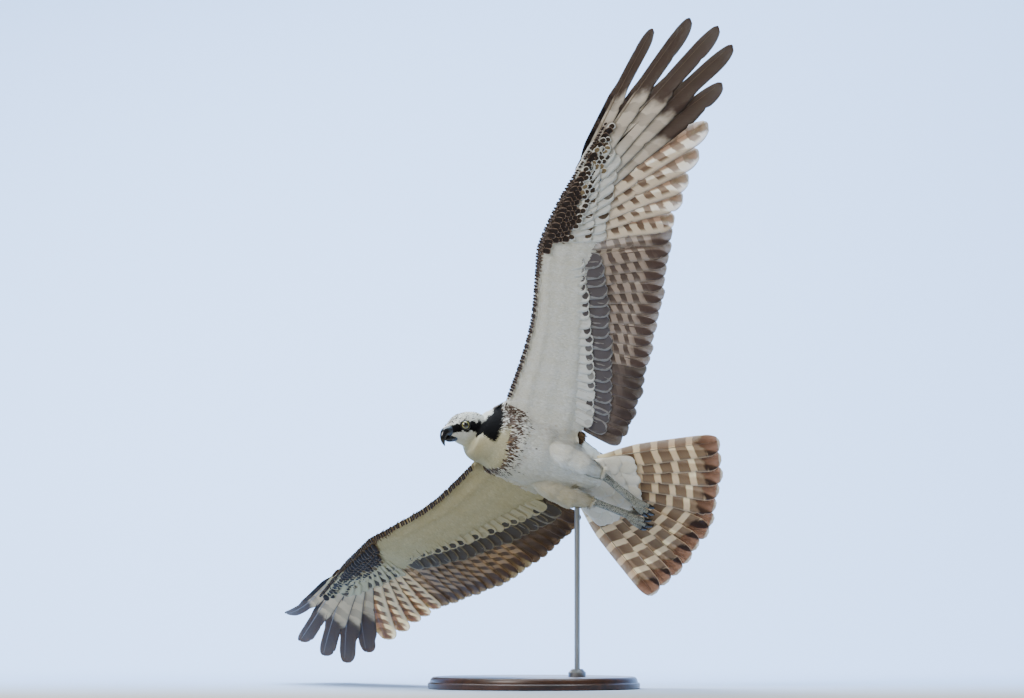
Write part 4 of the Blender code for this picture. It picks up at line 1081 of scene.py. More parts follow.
@dataclass
class Skin:
    """The bird's one skin, which lies under its feathers from the head to the wing ends and the tail's root."""

    torso: Table = (
        (-0.004, 0.057, 0.036, -0.073), (-0.020, 0.063, 0.040, -0.078), (-0.040, 0.066, 0.042, -0.081),
        (-0.085, 0.066, 0.043, -0.079), (-0.130, 0.058, 0.040, -0.070), (-0.170, 0.048, 0.034, -0.057),
        (-0.205, 0.038, 0.026, -0.045), (-0.235, 0.026, 0.014, -0.034), (-0.248, 0.014, 0.004, -0.026),
    )
    head: Table = (
        (-0.040, 0.0285, 0.0240, -0.040), (-0.030, 0.0290, 0.0265, -0.043), (-0.016, 0.0285, 0.0280, -0.038),
        (0.000, 0.0262, 0.0265, -0.029), (0.013, 0.0205, 0.0205, -0.0225), (0.023, 0.0145, 0.0140, -0.0185),
        (0.029, 0.0100, 0.0085, -0.0150),
    )
    ruff: Table = ((0.016, 0.047, 0.018, -0.074, -0.009), (0.030, 0.037, 0.004, -0.067, -0.011))
    neck_share: tuple[float, ...] = (0.35, 0.7, 1.0)
    body_depth: float = 0.0035
    fine_depth: float = 0.0016
    voxel: float = 0.0030
    smoothing: int = 11

    def _eased(self, rings: Array) -> Array:
        """Sections with more between them, so that the form runs through them without a ridge."""
        fine = np.linspace(0, len(rings) - 1, 5 * len(rings))
        low = np.clip(fine.astype(int), 0, len(rings) - 2)
        share = (fine - low)[:, None, None]
        return soften(rings[low] * (1 - share) + rings[low + 1] * share, 14)

    def _wing(self, pose: WingPose) -> list[Array]:
        """The sections of one wing's flesh."""
        rings = []
        for out in np.linspace(0.035, 0.542, 34):
            front, back = follow(LEADING_EDGE, out) - self.fine_depth, follow(CORE_BACK, out) + 0.003
            here = front + (back - front) * FLESH_PLACE
            tall = np.maximum(follow(CORE_THICK, out) * FLESH_FULL, np.where(FLESH_PLACE > 0.1, 0.0072, 0.0))
            upper, lower = (np.maximum(tall * share - self.fine_depth, 0.0) for share in (0.45, 0.55))
            ahead = np.append(here, here[::-1])
            rings.append(pose.place(ahead, np.full(len(ahead), out), np.append(upper, -lower[::-1])))
        return rings

    def build(self) -> Object:
        """Fuses the forms and smooths them."""
        depth = self.body_depth
        torso, (low, high) = ([Section(*row).ring(depth) for row in rows] for rows in (self.torso, self.ruff))
        head = [HEAD.to_bird(Section(*row).ring(self.fine_depth)) for row in self.head]
        end = np.roll(head[1], 4, axis=0)
        neck = [torso[2], torso[1], torso[0], low, high, *[high * (1 - t) + end * t for t in self.neck_share], end]
        wings = [self._wing(pose) for pose in (LEFT_POSE, RIGHT_POSE)]
        lofts = [torso, head, self._eased(np.array(neck)), *wings, Tail.core_rings(0.0015)]
        forms = [closed(rings, rings[0].mean(0), rings[-1].mean(0)) for rings in lofts]
        forms += [leg.thigh(depth) for leg in (LEFT_LEG, RIGHT_LEG)]
        shape = bmesh.new()
        for points, faces in forms:
            mesh = bpy.data.meshes.new("form")
            mesh.from_pydata(points.tolist(), [], faces.tolist())
            shape.from_mesh(mesh)
        bmesh.ops.remove_doubles(shape, verts=shape.verts, dist=1e-6)
        bmesh.ops.recalc_face_normals(shape, faces=shape.faces)
        mesh = bpy.data.meshes.new("skin")
        shape.to_mesh(mesh)
        shape.free()
        skin = put("skin", mesh)
        fuse = skin.modifiers.new("fuse", "REMESH")
        fuse.mode = "VOXEL"
        fuse.voxel_size = self.voxel
        ease = skin.modifiers.new("ease", "SMOOTH")
        ease.factor = 0.5
        ease.iterations = self.smoothing
        graph = bpy.context.evaluated_depsgraph_get()
        graph.update()
        fused = bpy.data.meshes.new_from_object(skin.evaluated_get(graph))
        skin.modifiers.clear()
        skin.data = fused
        return skin


@dataclass
class Leg:
    """One leg: thigh, scaled tarsus, toes and talons."""

    side: Side
    hip: Point
    knee: Point
    ankle: Point
    foot: Point
    thigh_radii: tuple[float, ...] = (0.010, 0.0185, 0.0205, 0.0205, 0.0175, 0.0120)
    tarsus_radii: tuple[float, ...] = (0.0054, 0.0066, 0.0061, 0.0070, 0.0070)
    toe_radii: tuple[float, ...] = (0.0050, 0.0044, 0.0047, 0.0039, 0.0035)
    talon_radius: float = 0.0042
    toes: tuple[tuple[str, int, float, float, float, float, float, float], ...] = (
        ("inner", 1, 9.0, 58.0, 0.032, 40.0, 0.025, 84.0),
        ("middle", 1, -4.0, 61.0, 0.037, 36.0, 0.025, 80.0),
        ("outer", 1, -19.0, 58.0, 0.033, 42.0, 0.024, 84.0),
        ("hind", -1, 8.0, 36.0, 0.025, 32.0, 0.024, 60.0),
    )

    def joints(self) -> Array:
        """Hip, knee, ankle and foot, one to a row."""
        return np.array([self.hip, self.knee, self.ankle, self.foot])

    def thigh(self, shrink: float) -> tuple[Array, Array]:
        """The thigh's form, drawn in by the coat's depth."""
        hip, knee, ankle, _ = self.joints()
        rise = np.array([0.030, -0.012 * self.side.value, 0.020])
        path = [hip + rise, hip + rise * 0.4, hip * 0.6 + knee * 0.4, knee, (knee + ankle) / 2]
        return tube(np.array([*path, knee + (ankle - knee) * 0.9]), np.array(self.thigh_radii) - shrink, 24)

    def _ridged(self, path: Array, radii: Array, sides: int, rings: float, depth: float) -> tuple[Array, Array]:
        """A tube whose skin is raised in rows of scales."""
        t = np.linspace(0, 1, 70)
        place = np.linspace(0, 1, len(path))
        line = soften(np.stack([np.interp(t, place, path[:, i]) for i in range(3)], axis=-1), 6)
        radius = np.interp(t, place, radii) * np.sqrt(np.clip(np.minimum(t, 1 - t) / 0.02, 0.05, 1.0))
        points, faces = tube(line, radius, sides)
        turn = np.tile(np.arange(sides), len(t) + 2)
        bumps = np.abs(np.sin(along_rings(t, sides) * rings * pi + (turn % 2) * pi / 2))
        centre = np.repeat(np.concatenate([line[:1], line, line[-1:]]), sides, axis=0)
        return points + unit(points - centre + 1e-12) * ((bumps - 0.5) * depth)[:, None], faces

    def _arc(self, start: Array, heading: Array, bending: Array, length: float, turn: float, steps: int) -> Array:
        """Points along an arc that starts along heading and turns towards bending."""
        angle = np.linspace(0, radians(turn), steps)[:, None]
        radius = length / radians(turn)
        return start + heading * (radius * np.sin(angle)) + bending * (radius * (1 - np.cos(angle)))

    def build(self, scaled: Material, horn: Material) -> None:
        """Makes the bare leg with its toes, and the talons.

        Args:
            scaled: The finish of bare skin.
            horn: The finish of talons.
        """
        _, knee, ankle, foot = self.joints()
        down = unit(foot - ankle)
        bare, talons = MeshParts(), MeshParts()
        path = [knee + (ankle - knee) * 0.80, ankle, ankle + (foot - ankle) * 0.45]
        path = np.array([*path, foot - down * 0.004, foot + down * 0.003])
        bare.add(*self._ridged(path, np.array(self.tarsus_radii), 22, 34, 0.0007))
        belly = np.array([0.0, 0.0, -1.0])
        belly = unit(belly - down * (belly @ down))
        across = np.cross(down, belly) * self.side.value
        for _, front, splay, slant, length, curl, talon_length, talon_curl in self.toes:
            lean, spread, turn = map(radians, (slant, splay, curl))
            ahead = belly * front
            heading = unit(ahead * cos(lean) + down * sin(lean) + across * tan(spread))
            bending = down * cos(lean) - ahead * sin(lean)
            base = foot + heading * 0.002 + across * (sin(spread) * 0.005)
            toe = self._arc(base, heading, bending, length, curl, 12)
            radii = np.interp(np.linspace(0, 1, 12), np.linspace(0, 1, 5), self.toe_radii)
            bare.add(*self._ridged(toe, radii, 18, 15, 0.0008))
            start = heading * cos(turn) + bending * sin(turn)
            bending = bending * cos(turn) - heading * sin(turn)
            claw = self._arc(toe[-1] - start * 0.0015, start, bending, talon_length, talon_curl, 18)
            share = np.linspace(0, 1, 18)
            points, faces = tube(claw, self.talon_radius * (1 - share) ** 0.75 + 0.00025, 16, 1.15)
            talons.add(points, faces, carried={"along": along_rings(share, 16)})
        word = self.side.word
        leg = bare.build(f"leg_{word}", [scaled], "leg_scale")
        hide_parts(f"tarsus_{word}", f"foot_{word}")
        claws = talons.build(f"talons_{word}", [horn], "talon_horn")
        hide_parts(*[f"talon_{word}_{toe[0]}" for toe in self.toes])


LEFT_LEG = Leg(
    Side.LEFT,
    hip=(-0.105, 0.034, -0.052),
    knee=(-0.158, 0.036, -0.064),
    ankle=(-0.208, 0.024, -0.055),
    foot=(-0.2745, 0.0065, -0.071),
)
RIGHT_LEG = Leg(
    Side.RIGHT,
    hip=(-0.110, -0.036, -0.052),
    knee=(-0.165, -0.040, -0.062),
    ankle=(-0.216, -0.032, -0.056),
    foot=(-0.2822, -0.0265, -0.069),
)


@dataclass
class Palette:
    """The plumage's colours, as the light of the photo's day shows them."""

    white: Colour = hue(236, 236, 232)
    cream: Colour = hue(216, 210, 182)
    brown: Colour = hue(84, 69, 60)
    dark_brown: Colour = hue(52, 42, 38)
    black: Colour = hue(26, 24, 28)
    buff: Colour = hue(196, 172, 140)
    spot: Colour = hue(122, 106, 94)
    ochre: Colour = hue(176, 154, 112)
    rose: Colour = hue(214, 198, 190)


def mix(share: Array, a: Array | Colour, b: Array | Colour) -> Array:
    """Rows of colours, a share of the way from a to b."""
    share = np.asarray(share)[:, None]
    return np.asarray(a) * (1 - share) + np.asarray(b) * share


def behind_edge(points: Array) -> Array:
    """How far places on either wing lie ahead of the rear edge of its skin."""
    ahead, out = plan_of(points)
    return ahead - follow(CORE_BACK, out)


@dataclass
class Coat:
    """All the small feathers over the skin, with the markings that skin and coat share."""

    skin: Object
    palette: Palette
    rng: Random

    def __post_init__(self) -> None:
        """Reads the skin's shape once, in the bird's frame."""
        mesh = self.skin.data
        mesh.calc_loop_triangles()
        points, normals = np.zeros((2, len(mesh.vertices) * 3))
        mesh.vertices.foreach_get("co", points)
        mesh.vertices.foreach_get("normal", normals)
        corners = np.zeros(len(mesh.loop_triangles) * 3, int)
        mesh.loop_triangles.foreach_get("vertices", corners)
        self.points, self.normals, self.corners = (read.reshape(-1, 3) for read in (points, normals, corners))
        a, b, c = (self.points[self.corners[:, i]] for i in range(3))
        self.areas = np.linalg.norm(np.cross(b - a, c - a), axis=1) / 2
        self.regions = self.region_of(self.points)[self.corners[:, 0]]

    def region_of(self, points: Array) -> Array:
        """Which region each point of the skin belongs to."""
        region = np.full(len(points), int(Region.TORSO))
        region[points[:, 0] > -0.012] = Region.NECK
        region[HEAD.from_bird(points)[:, 0] > -0.034] = Region.HEAD
        away = np.full(len(points), 9.0)
        line = np.linspace(0, 1, 12)[:, None]
        for leg in (LEFT_LEG, RIGHT_LEG):
            hip, knee, ankle, _ = leg.joints()
            for start, end in ((hip, knee), (knee, ankle)):
                path = start + (end - start) * line
                away = np.minimum(away, np.linalg.norm(points[:, None, :] - path[None], axis=2).min(1))
        region[(away < 0.026) & (points[:, 2] < -0.050)] = Region.THIGH
        region[(away < 0.017) & (points[:, 0] < -0.15)] = Region.THIGH
        region[(points[:, 0] < -0.190) & (region == Region.TORSO)] = Region.RUMP
        for pose, own in WINGS:
            ahead, out = pose.plan(points)
            region[(points[:, 1] * pose.side.value > 0.062) & (out > 0.066) & (ahead > -0.155)] = own
        return region

    def sample(self, regions: Sequence[Region], count: int, keep: Keep | None) -> tuple[Array, Array]:
        """Random places on the skin, spread evenly over the area of some regions.

        Args:
            regions: The regions.
            count: How many places.
            keep: Gives the chance that a place is kept, from its point and normal.

        Returns:
            The points and the normals there.
        """
        chance = self.areas * np.isin(self.regions, regions)
        picks = self.rng.choice(len(chance), count, p=chance / chance.sum())
        u, v = self.rng.random((2, count))
        over = u + v > 1
        u, v = np.where(over, 1 - u, u), np.where(over, 1 - v, v)
        weights = np.stack([1 - u - v, u, v], axis=-1)[..., None]
        points, normals = ((read[self.corners[picks]] * weights).sum(1) for read in (self.points, self.normals))
        normals = unit(normals)
        if keep is not None:
            chosen = self.rng.random(count) < keep(points, normals)
            points, normals = points[chosen], normals[chosen]
        return points, normals

    def stripe(self, points: Array) -> Array:
        """How much of the black eye stripe, and of the dark patch it opens into on the neck, covers a place."""
        head = HEAD.from_bird(points)
        ragged = (hashed(head * np.array([0.35, 1, 1]), 190.0) - 0.5) * 0.005
        top, bottom = (follow(edge, head[:, 0]) + ragged for edge in (STRIPE_TOP, STRIPE_BOTTOM))
        on_head = ease(top - head[:, 2], -0.001, 0.001) * ease(head[:, 2] - bottom, -0.001, 0.001)
        on_head = on_head * (head[:, 0] > -0.026) * (head[:, 0] < 0.035) * (np.abs(head[:, 1]) > 0.004)
        aside, tall = points[:, 1] + 0.009, points[:, 2] + 0.028
        turn = np.degrees(np.arctan2(tall, np.abs(aside))) + ragged * 900
        rear = -0.00008 * turn + ragged * 0.6
        low, high = np.where(aside > 0, -58.0, -30.0), follow(NECK_TOP, points[:, 0])
        inside = ease(turn - low, -4, 4) * ease(high - turn, -5, 5)
        on_neck = inside * ease(points[:, 0] - rear, -0.003, 0.003) * (head[:, 0] <= -0.016)
        return np.clip(np.maximum(on_head, on_neck), 0.0, 1.0)

    def _under_wing(self, pose: WingPose, points: Array, chance: Array) -> tuple[Array, Array]:
        """Where the small feathers under a wing are dark, and how ochre they are.

        Args:
            pose: The wing.
            points: Places on it.
            chance: One random value for each.

        Returns:
            Which are dark, and shares of ochre.
        """
        ahead, out = pose.plan(points)
        flat = np.stack([ahead, out, ahead * 0], -1)
        depth = follow(WRIST_DEPTH, out) * (0.80 + 0.40 * hashed(flat * np.array([0.5, 1.6, 1]), 60.0, 7.0))
        patch = 1 - ease(follow(LEADING_EDGE, out) - ahead, depth * 0.88, depth * 1.08)
        ochre = (hashed(flat, 50.0, 14.0) > 0.70) * (out > 0.40) * (patch < 0.3)
        return (patch > chance * 0.98)[:, None], ochre * (chance > 0.25)

    def markings(self, points: Array, normals: Array) -> tuple[Array, Array]:
        """The base and tip colours of a small feather at each place.

        Args:
            points: Places in the bird's frame.
            normals: The skin's normals there.

        Returns:
            Base colours and tip colours, one to a row.
        """
        p, n = self.palette, len(points)
        x, y, z = points.T
        upward = normals[:, 2]
        head, region = HEAD.from_bird(points), self.region_of(points)
        base = tips = mix(hashed(points, 40.0, 1.0) * 0.30, p.white, p.cream)
        chance = self.rng.random(n)
        fringe = mix(chance * 0.36, p.brown, p.buff)
        back = ease(upward, 0.22, 0.42) * (1 - ease(x, 0.004, 0.018)) * ease(z, -0.038, -0.018)
        back = back * (region != Region.HEAD) * (region != Region.THIGH)
        base, tips = mix(back, base, p.dark_brown), mix(back, tips, fringe)
        belly = 1 - ease(upward, 0.0, 0.3)
        band = np.exp(-(((x + 0.015) / 0.0165) ** 2)) * belly
        mottled = 0.35 + 0.65 * ease(hashed(points, 120.0, 3.0), 0.30, 0.55)
        dark = ((band * mottled * 1.4 > chance) & (region < Region.THIGH))[:, None]
        base = np.where(dark, mix(chance, p.brown, p.spot), base)
        tips = np.where(dark, mix(chance * 0.45, base, p.rose), tips)
        # Painted shade: towards the vent the underside is tinted patchily cream, as the lower body lies in shade;
        # the lit left wing is left out.
        rear_belly_shade = ease(-x, 0.05, 0.16) * belly * (hashed(points, 80.0, 9.0) * 0.5 + chance * 0.5) * 0.6
        base = mix(rear_belly_shade * (region != Region.LEFT_WING), base, p.cream)
        flank = (hashed(points, 34.0, 6.0) > 0.86) & (region == Region.TORSO) & (chance < 0.35)
        base = np.where(flank[:, None], p.buff, base)
        throat = (region == Region.HEAD) | (region == Region.NECK)
        # Painted shade: the underside of the head and neck is tinted cream, as it lies in shade.
        throat_shade = throat * ease(-head[:, 2], 0.008, 0.03) * 0.95
        base, tips = mix(throat_shade, base, p.cream), mix(throat_shade, tips, p.cream)
        often = 0.16 + 0.38 * (np.abs(head[:, 1]) < 0.010) * ease(head[:, 0], -0.03, 0.01)
        streak = ((region == Region.HEAD) & (head[:, 2] > 0.010) & (chance < often))[:, None]
        base, tips = np.where(streak, p.brown, base), np.where(streak, p.dark_brown, tips)
        black = self.stripe(points) * throat
        faded = mix(ease(-x, -0.012, 0.012) * 0.5, p.black, p.dark_brown)
        tawny = ease(upward, 0.1, 0.4) * (region == Region.NECK) * (chance > 0.35) * 0.9
        base, tips = mix(black, base, faded), mix(black, tips, mix(tawny, faded, p.buff))
        edge = (behind_edge(points) < 0.014) & (upward > -0.45)
        over = ((upward >= UPPER_FACING) | edge)[:, None]
        for pose, own in WINGS:
            here = (region == own)[:, None]
            marked, ochre = self._under_wing(pose, points, chance)
            under_base = np.where(marked, p.dark_brown, mix(ochre, base, p.ochre))
            under_tips = np.where(marked, mix(np.full(n, 0.6), p.brown, p.rose), base)
            base = np.where(here, np.where(over, p.dark_brown, under_base), base)
            tips = np.where(here, np.where(over, fringe, under_tips), tips)
        shaded = ease(-y - 0.5 * (z + 0.06), -0.032, 0.055) * 0.75
        shaded = np.where(region == Region.RIGHT_WING, 1.0, shaded) * belly * (region != Region.LEFT_WING)
        tint = mix(shaded, CLEAR, SHADED_WHITE)
        return base * tint, tips * tint

    def lie(self, points: Array) -> Array:
        """Which way the small feathers point at each place."""
        away = unit(points - HEAD.to_bird(np.array([0.040, 0.0, -0.004])))
        share = ease(-HEAD.from_bird(points)[:, 0], 0.02, 0.09)[:, None]
        lie = unit(away * (1 - share) + np.array([-1.0, 0.0, 0.0]) * share)
        region = self.region_of(points)
        for leg in (LEFT_LEG, RIGHT_LEG):
            hip, _, ankle, _ = leg.joints()
            own = (region == Region.THIGH) & (points[:, 1] * leg.side.value > 0)
            lie = np.where(own[:, None], unit(ankle - hip), lie)
        step, level = 0.004, np.zeros(len(points))
        for pose, own in WINGS:
            ahead, out = pose.plan(points)
            outward = 0.25 + 0.9 * ease(out, 0.36, 0.52)
            way = pose.place(ahead - step, out + step * outward, level) - pose.place(ahead, out, level)
            lie = np.where((region == own)[:, None], unit(way), lie)
        return lie

    def bake_place(self, points: Array, normals: Array) -> Array:
        """Where each place lies on an unwrap of the skin: round and along the body, or the plan of a wing."""

        def wrapped(turn: Array, along: Array) -> Array:
            """Round and along, inside the map's edges."""
            return 0.02 + 0.96 * np.stack([turn / (2 * pi) + 0.5, np.clip(along, 0, 1)], -1)

        head, region = HEAD.from_bird(points), self.region_of(points)
        made = wrapped(np.arctan2(points[:, 2] + 0.02, points[:, 1]), (points[:, 0] + 0.27) / 0.36)
        face = wrapped(np.arctan2(head[:, 2], head[:, 1]), (head[:, 0] + 0.06) / 0.10)
        made = np.where((region == Region.HEAD)[:, None], face, made)
        for pose, own in WINGS:
            ahead, out = pose.plan(points)
            flat = np.clip(np.stack([(out - 0.05) / 0.52, (ahead + 0.17) / 0.25], -1), 0.01, 0.99)
            flat[:, 1] = flat[:, 1] * 0.49 + np.where(normals[:, 2] < UPPER_FACING, 0.0, 0.505)
            made = np.where((region == own)[:, None], flat, made)
        return made

    def grow(
        self, name: str, slot: str, finish: Material, regions: Sequence[Region], count: int,
        length: Callable[[Array], Array], share: float, slender: float, lift: float, keep: Keep | None,
    ) -> None:
        """Grows one piece of the coat.

        Args:
            name: The piece's name.
            slot: The record's slot.
            finish: Its material.
            regions: Where it grows.
            count: How many small feathers are tried.
            length: Gives each feather's length from its place.
            share: What the lengths are multiplied by.
            slender: A feather's width as a share of its length.
            lift: How far the tips stand off, as a share of the length.
            keep: Gives the chance that a place is kept.
        """
        points, normals = self.sample(regions, count, keep)
        lengths = length(points) * share
        base, tips = self.markings(points, normals)
        bright = self.rng.uniform(0.90, 1.04, len(points))[:, None]
        bake = self.bake_place(points, normals)
        colours = base * bright, tips * bright
        tufts = Tufts(points, normals, self.lie(points), lengths, lengths * slender, *colours, bake, lift)
        tufts.parts(self.rng).build(name, [finish], slot)

    def dress(self, finish: Material) -> None:
        """Grows every piece of the coat, and gives the skin the same markings.

        Args:
            finish: The material of small feathers.
        """

        def on_head(points: Array) -> Array:
            """Short at the bill and longer towards the nape."""
            return 0.0034 + 0.0066 * ease(-HEAD.from_bird(points)[:, 0], -0.03, 0.035)

        def on_body(points: Array) -> Array:
            """Longer towards the vent."""
            return 0.014 + 0.009 * ease(-points[:, 0], 0.0, 0.2)

        def on_wing(points: Array) -> Array:
            """Longer towards the flight feathers, and shortest along the leading edge."""
            ahead, out = plan_of(points)
            return 0.0075 + 0.0105 * ease(follow(LEADING_EDGE, out) - ahead, 0.0, 0.06)

        def off_face(points: Array, _: Array) -> Array:
            """Off the eyes and the bill."""
            head = HEAD.from_bird(points)
            away = np.linalg.norm((head - np.array(EYE))[:, [0, 2]], axis=1)
            return ~((away < 0.0098) & (np.abs(head[:, 1]) > 0.012) | (head[:, 0] > 0.0265))

        def below(points: Array, normals: Array) -> Array:
            """The underside alone, short of its rear edge."""
            return (normals[:, 2] < UPPER_FACING) & (behind_edge(points) > 0.010)

        def above(points: Array, normals: Array) -> Array:
            """The upper side, short of its rear edge."""
            return (normals[:, 2] >= UPPER_FACING) & (behind_edge(points) > 0.018)

        def on_nape(points: Array, normals: Array) -> Array:
            """The top of the shoulders, where the feathers stand up."""
            return (normals[:, 2] > 0.15) & (points[:, 0] > -0.040) & (points[:, 0] < 0.010)

        def ahead_of_tail(points: Array, _: Array) -> Array:
            """The rump, short of where the tail's own coverts lie."""
            return points[:, 0] > -0.226

        head, neck, torso, rump, thighs = ([region] for region in (
            Region.HEAD, Region.NECK, Region.TORSO, Region.RUMP, Region.THIGH
        ))
        rows = [
            ("head_1", head, 15000, on_head, 1.0, 0.30, 0.13, off_face),
            ("torso_1", torso, 11000, on_body, 1.0, 0.30, 0.085, None),
            ("head_2", head, 15000, on_head, 1.0, 0.30, 0.13, off_face),
            ("torso_2", torso, 11000, on_body, 1.0, 0.30, 0.085, None),
            ("neck", neck, 14000, on_body, 0.80, 0.30, 0.10, None),
            ("nape", neck + torso, 16000, on_body, 1.1, 0.36, 0.42, on_nape),
            ("rump", rump, 9000, on_body, 1.0, 0.32, 0.06, ahead_of_tail),
            ("thighs", thighs, 12000, on_body, 0.8, 0.30, 0.11, None),
        ]
        for pose, own in WINGS:
            rows.append((f"wing_{pose.side.word}_under", [own], 32000, on_wing, 1.0, 0.42, 0.05, below))
            rows.append((f"wing_{pose.side.word}_upper", [own], 20000, on_wing, 1.15, 0.50, 0.06, above))
        for name, *row in rows:
            slot = "plumage_brown" if name.endswith("upper") else "plumage_white"
            self.grow(f"coat_{name}", slot, finish, *row)
        self._dress_skin(finish)

    def _dress_skin(self, finish: Material) -> None:
        """Carries the skin to its place over the floor, with the coat's markings on it."""
        # Painted shade: the skin shows only in the gaps between the small feathers, so it takes their base colours
        # a little darker.
        colours = self.markings(self.points, self.normals)[0] * 0.9
        mesh = self.skin.data
        carry(mesh, "markings", np.concatenate([colours, np.ones((len(colours), 1))], axis=1))
        mesh.vertices.foreach_set("co", BIRD.to_world(self.points).astype(np.float32).ravel())
        mesh.update()
        mesh.shade_smooth()
        mesh.materials.clear()
        mesh.materials.append(finish)
        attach(self.skin, "root")
        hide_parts("torso", "neck", "head", "thigh_left", "thigh_right")
        LOG.info("skin: %d faces", len(mesh.polygons))


@dataclass
class Wing:
    """One wing's long feathers: primaries, secondaries, alula and its tiers of coverts."""

    pose: WingPose
    finishes: dict[str, Material]
    rng: Random
    secondaries: int = 19
    barred: int = 11
    fingers: int = 5
    inner_primaries: int = 10
    finger_from: tuple[float, ...] = (0.50, 0.50, 0.55, 0.62, 0.72)
    finger_widths: tuple[float, ...] = (0.0225, 0.0285, 0.0300, 0.0300, 0.0320)
    tilt: float = 0.058
    scale_rows: tuple[float, ...] = (0.0510, 0.0420, 0.0335, 0.0255, 0.0180, 0.0110, 0.0018)
    covert_rows: tuple[tuple[str, bool, int, float, float, float, float, float, str], ...] = (
        ("greater_{}_under", False, 17, 0.30, 0.70, 0.062, 0.0300, -0.0028, "greater_coverts"),
        ("median_{}_under", False, 19, 0.10, 0.44, 0.046, 0.0250, -0.0050, "median_coverts"),
        ("greater_{}_upper", False, 19, 0.46, 0.56, 0.070, 0.0300, 0.0024, "upper_brown"),
        ("median_{}_upper", False, 20, 0.22, 0.32, 0.050, 0.0240, 0.0046, "upper_brown"),
        ("hand_greater_{}_under", True, 11, 0.24, 0.34, 0.060, 0.0270, -0.0028, "spotted_coverts"),
        ("hand_median_{}_under", True, 12, 0.12, 0.20, 0.044, 0.0220, -0.0048, "spotted_coverts"),
        ("hand_greater_{}_upper", True, 11, 0.30, 0.40, 0.080, 0.0270, 0.0024, "upper_brown"),
        ("hand_median_{}_upper", True, 12, 0.16, 0.24, 0.050, 0.0230, 0.0044, "upper_brown"),
    )

    def primary_places(self) -> Spots:
        """Root and tip of each primary in plan, outermost first."""
        shares = np.linspace(0, 1, len(PRIMARY_TIPS))
        roots = [np.array([0.036 - 0.034 * t, 0.492 - 0.106 * t]) for t in shares]
        return list(zip(roots, map(np.array, PRIMARY_TIPS)))

    def secondary_places(self) -> Spots:
        """Root and tip of each secondary in plan, from the wrist to the body."""
        spots = []
        for t in np.linspace(0, 1, self.secondaries):
            root_out, tip_out = 0.350 + (0.088 - 0.350) * t, 0.444 + (0.076 - 0.444) * t
            tip = np.array([follow(TRAILING_EDGE, tip_out) + self.rng.uniform(-0.002, 0.003), tip_out])
            spots.append((np.array([follow(CORE_BACK, root_out) + 0.030, root_out]), tip))
        return spots

    def row(self, spots: Spots, count: int, first: float, last: float, length: float) -> Spots:
        """Roots and tips of a row of coverts over a row of flight feathers.

        Args:
            spots: Roots and tips of the flight feathers.
            count: How many coverts lie over them.
            first: How far down its flight feather the first covert reaches, as a share of its length.
            last: The same for the last covert.
            length: How long a covert is, in metres.

        Returns:
            The coverts' roots and tips.
        """
        made = []
        for k in range(count):
            at = (k + 0.3) / (count - 0.4) * (len(spots) - 1)
            i = min(int(at), len(spots) - 2)
            root, tip = (spots[i][end] * (1 - at + i) + spots[i + 1][end] * (at - i) for end in (0, 1))
            reach = first + (last - first) * k / (count - 1) + self.rng.uniform(-0.012, 0.012)
            end = root + (tip - root) * reach
            made.append((end - unit(tip - root) * length, end))
        return made

    def coverts(self, name: str, places: Spots, width: float, height: float, finish: Material) -> None:
        """One row of coverts."""
        row = VaneSet(self.pose.place, len(places), self.rng, rows=16, columns=7)
        for root, tip in places:
            blade = Blade(width * self.rng.uniform(0.88, 1.10), 0.42, 0.006, 0.30, 0.62, 0.005)
            row.add(blade, root, tip, height, 0.050, 0.0010, bow=0.001, splits=1, shaft=0.0005)
        row.build(name, finish, self.finishes["upper_brown"], self.finishes["quill"], "plumage_brown")

    def _scales(self) -> None:
        """The small rounded feathers under the wrist and along the front, dark or spotted, laid row over row."""
        kinds = ("dark", "spotted", "ochre")
        sets = {kind: VaneSet(self.pose.place, 400, self.rng, rows=10, columns=5) for kind in kinds}
        for row, behind in enumerate(self.scale_rows):
            front = row == len(self.scale_rows) - 1
            first, apart, long = (0.078, 0.0055, 0.0060) if front else (0.340, 0.0098, 0.0160)
            for out in np.arange(first, 0.600, apart):
                out = out + (0.0049 if row % 2 else 0.0) + self.rng.uniform(-0.0015, 0.0015)
                dark = behind < float(follow(WRIST_DEPTH, out)) + self.rng.uniform(-0.002, 0.005)
                chance = self.rng.random()
                kind = "dark" if dark else ("spotted" if chance < 0.60 else "ochre" if chance < 0.74 else "")
                room = 0.050 if out < 0.50 else 0.050 - (out - 0.50) * 0.42
                if not kind or behind > room or (kind != "dark" and out < HAND_FROM_OUT):
                    continue
                size = self.rng.uniform(0.88, 1.12) * long
                lean = 0.30 + 1.1 * float(ease(out, 0.38, 0.52))
                root = np.array([float(follow(LEADING_EDGE, out)) - behind, out])
                tip = root + unit(np.array([-1.0, lean])) * size
                low, far = under_skin(*root), under_skin(*tip)
                blade = Blade(size * 0.72, 0.5, 0.004, 0.42, 0.45, 0.003)
                rise = far - low - 0.0032
                sets[kind].add(blade, root, tip, low - 0.0006, arch=-0.0006, splits=0, shaft=0.0002, rise=rise)
        for kind in kinds:
            finish = self.finishes[kind + "_scales"]
            name = f"scales_{kind}_{self.pose.side.word}"
            made = sets[kind].vanes.build(name, [finish, finish], "plumage_brown")
            LOG.info("%s: %d feathers", made.name, sets[kind].made)

    def build(self) -> None:
        """Makes every row of the wing, and lets them stand for the wing's solids."""
        word, f = self.pose.side.word, self.finishes

        def long_row(count: int, rows: int, columns: int) -> VaneSet:
            """An empty row of flight feathers."""
            return VaneSet(self.pose.place, count, self.rng, rows, columns, 0.00055)

        def piece(row: VaneSet, name: str, finish: str, slot: str) -> Object:
            """A finished row of flight feathers."""
            return row.build(name, f[finish], f["upper_brown"], f["quill"], slot)

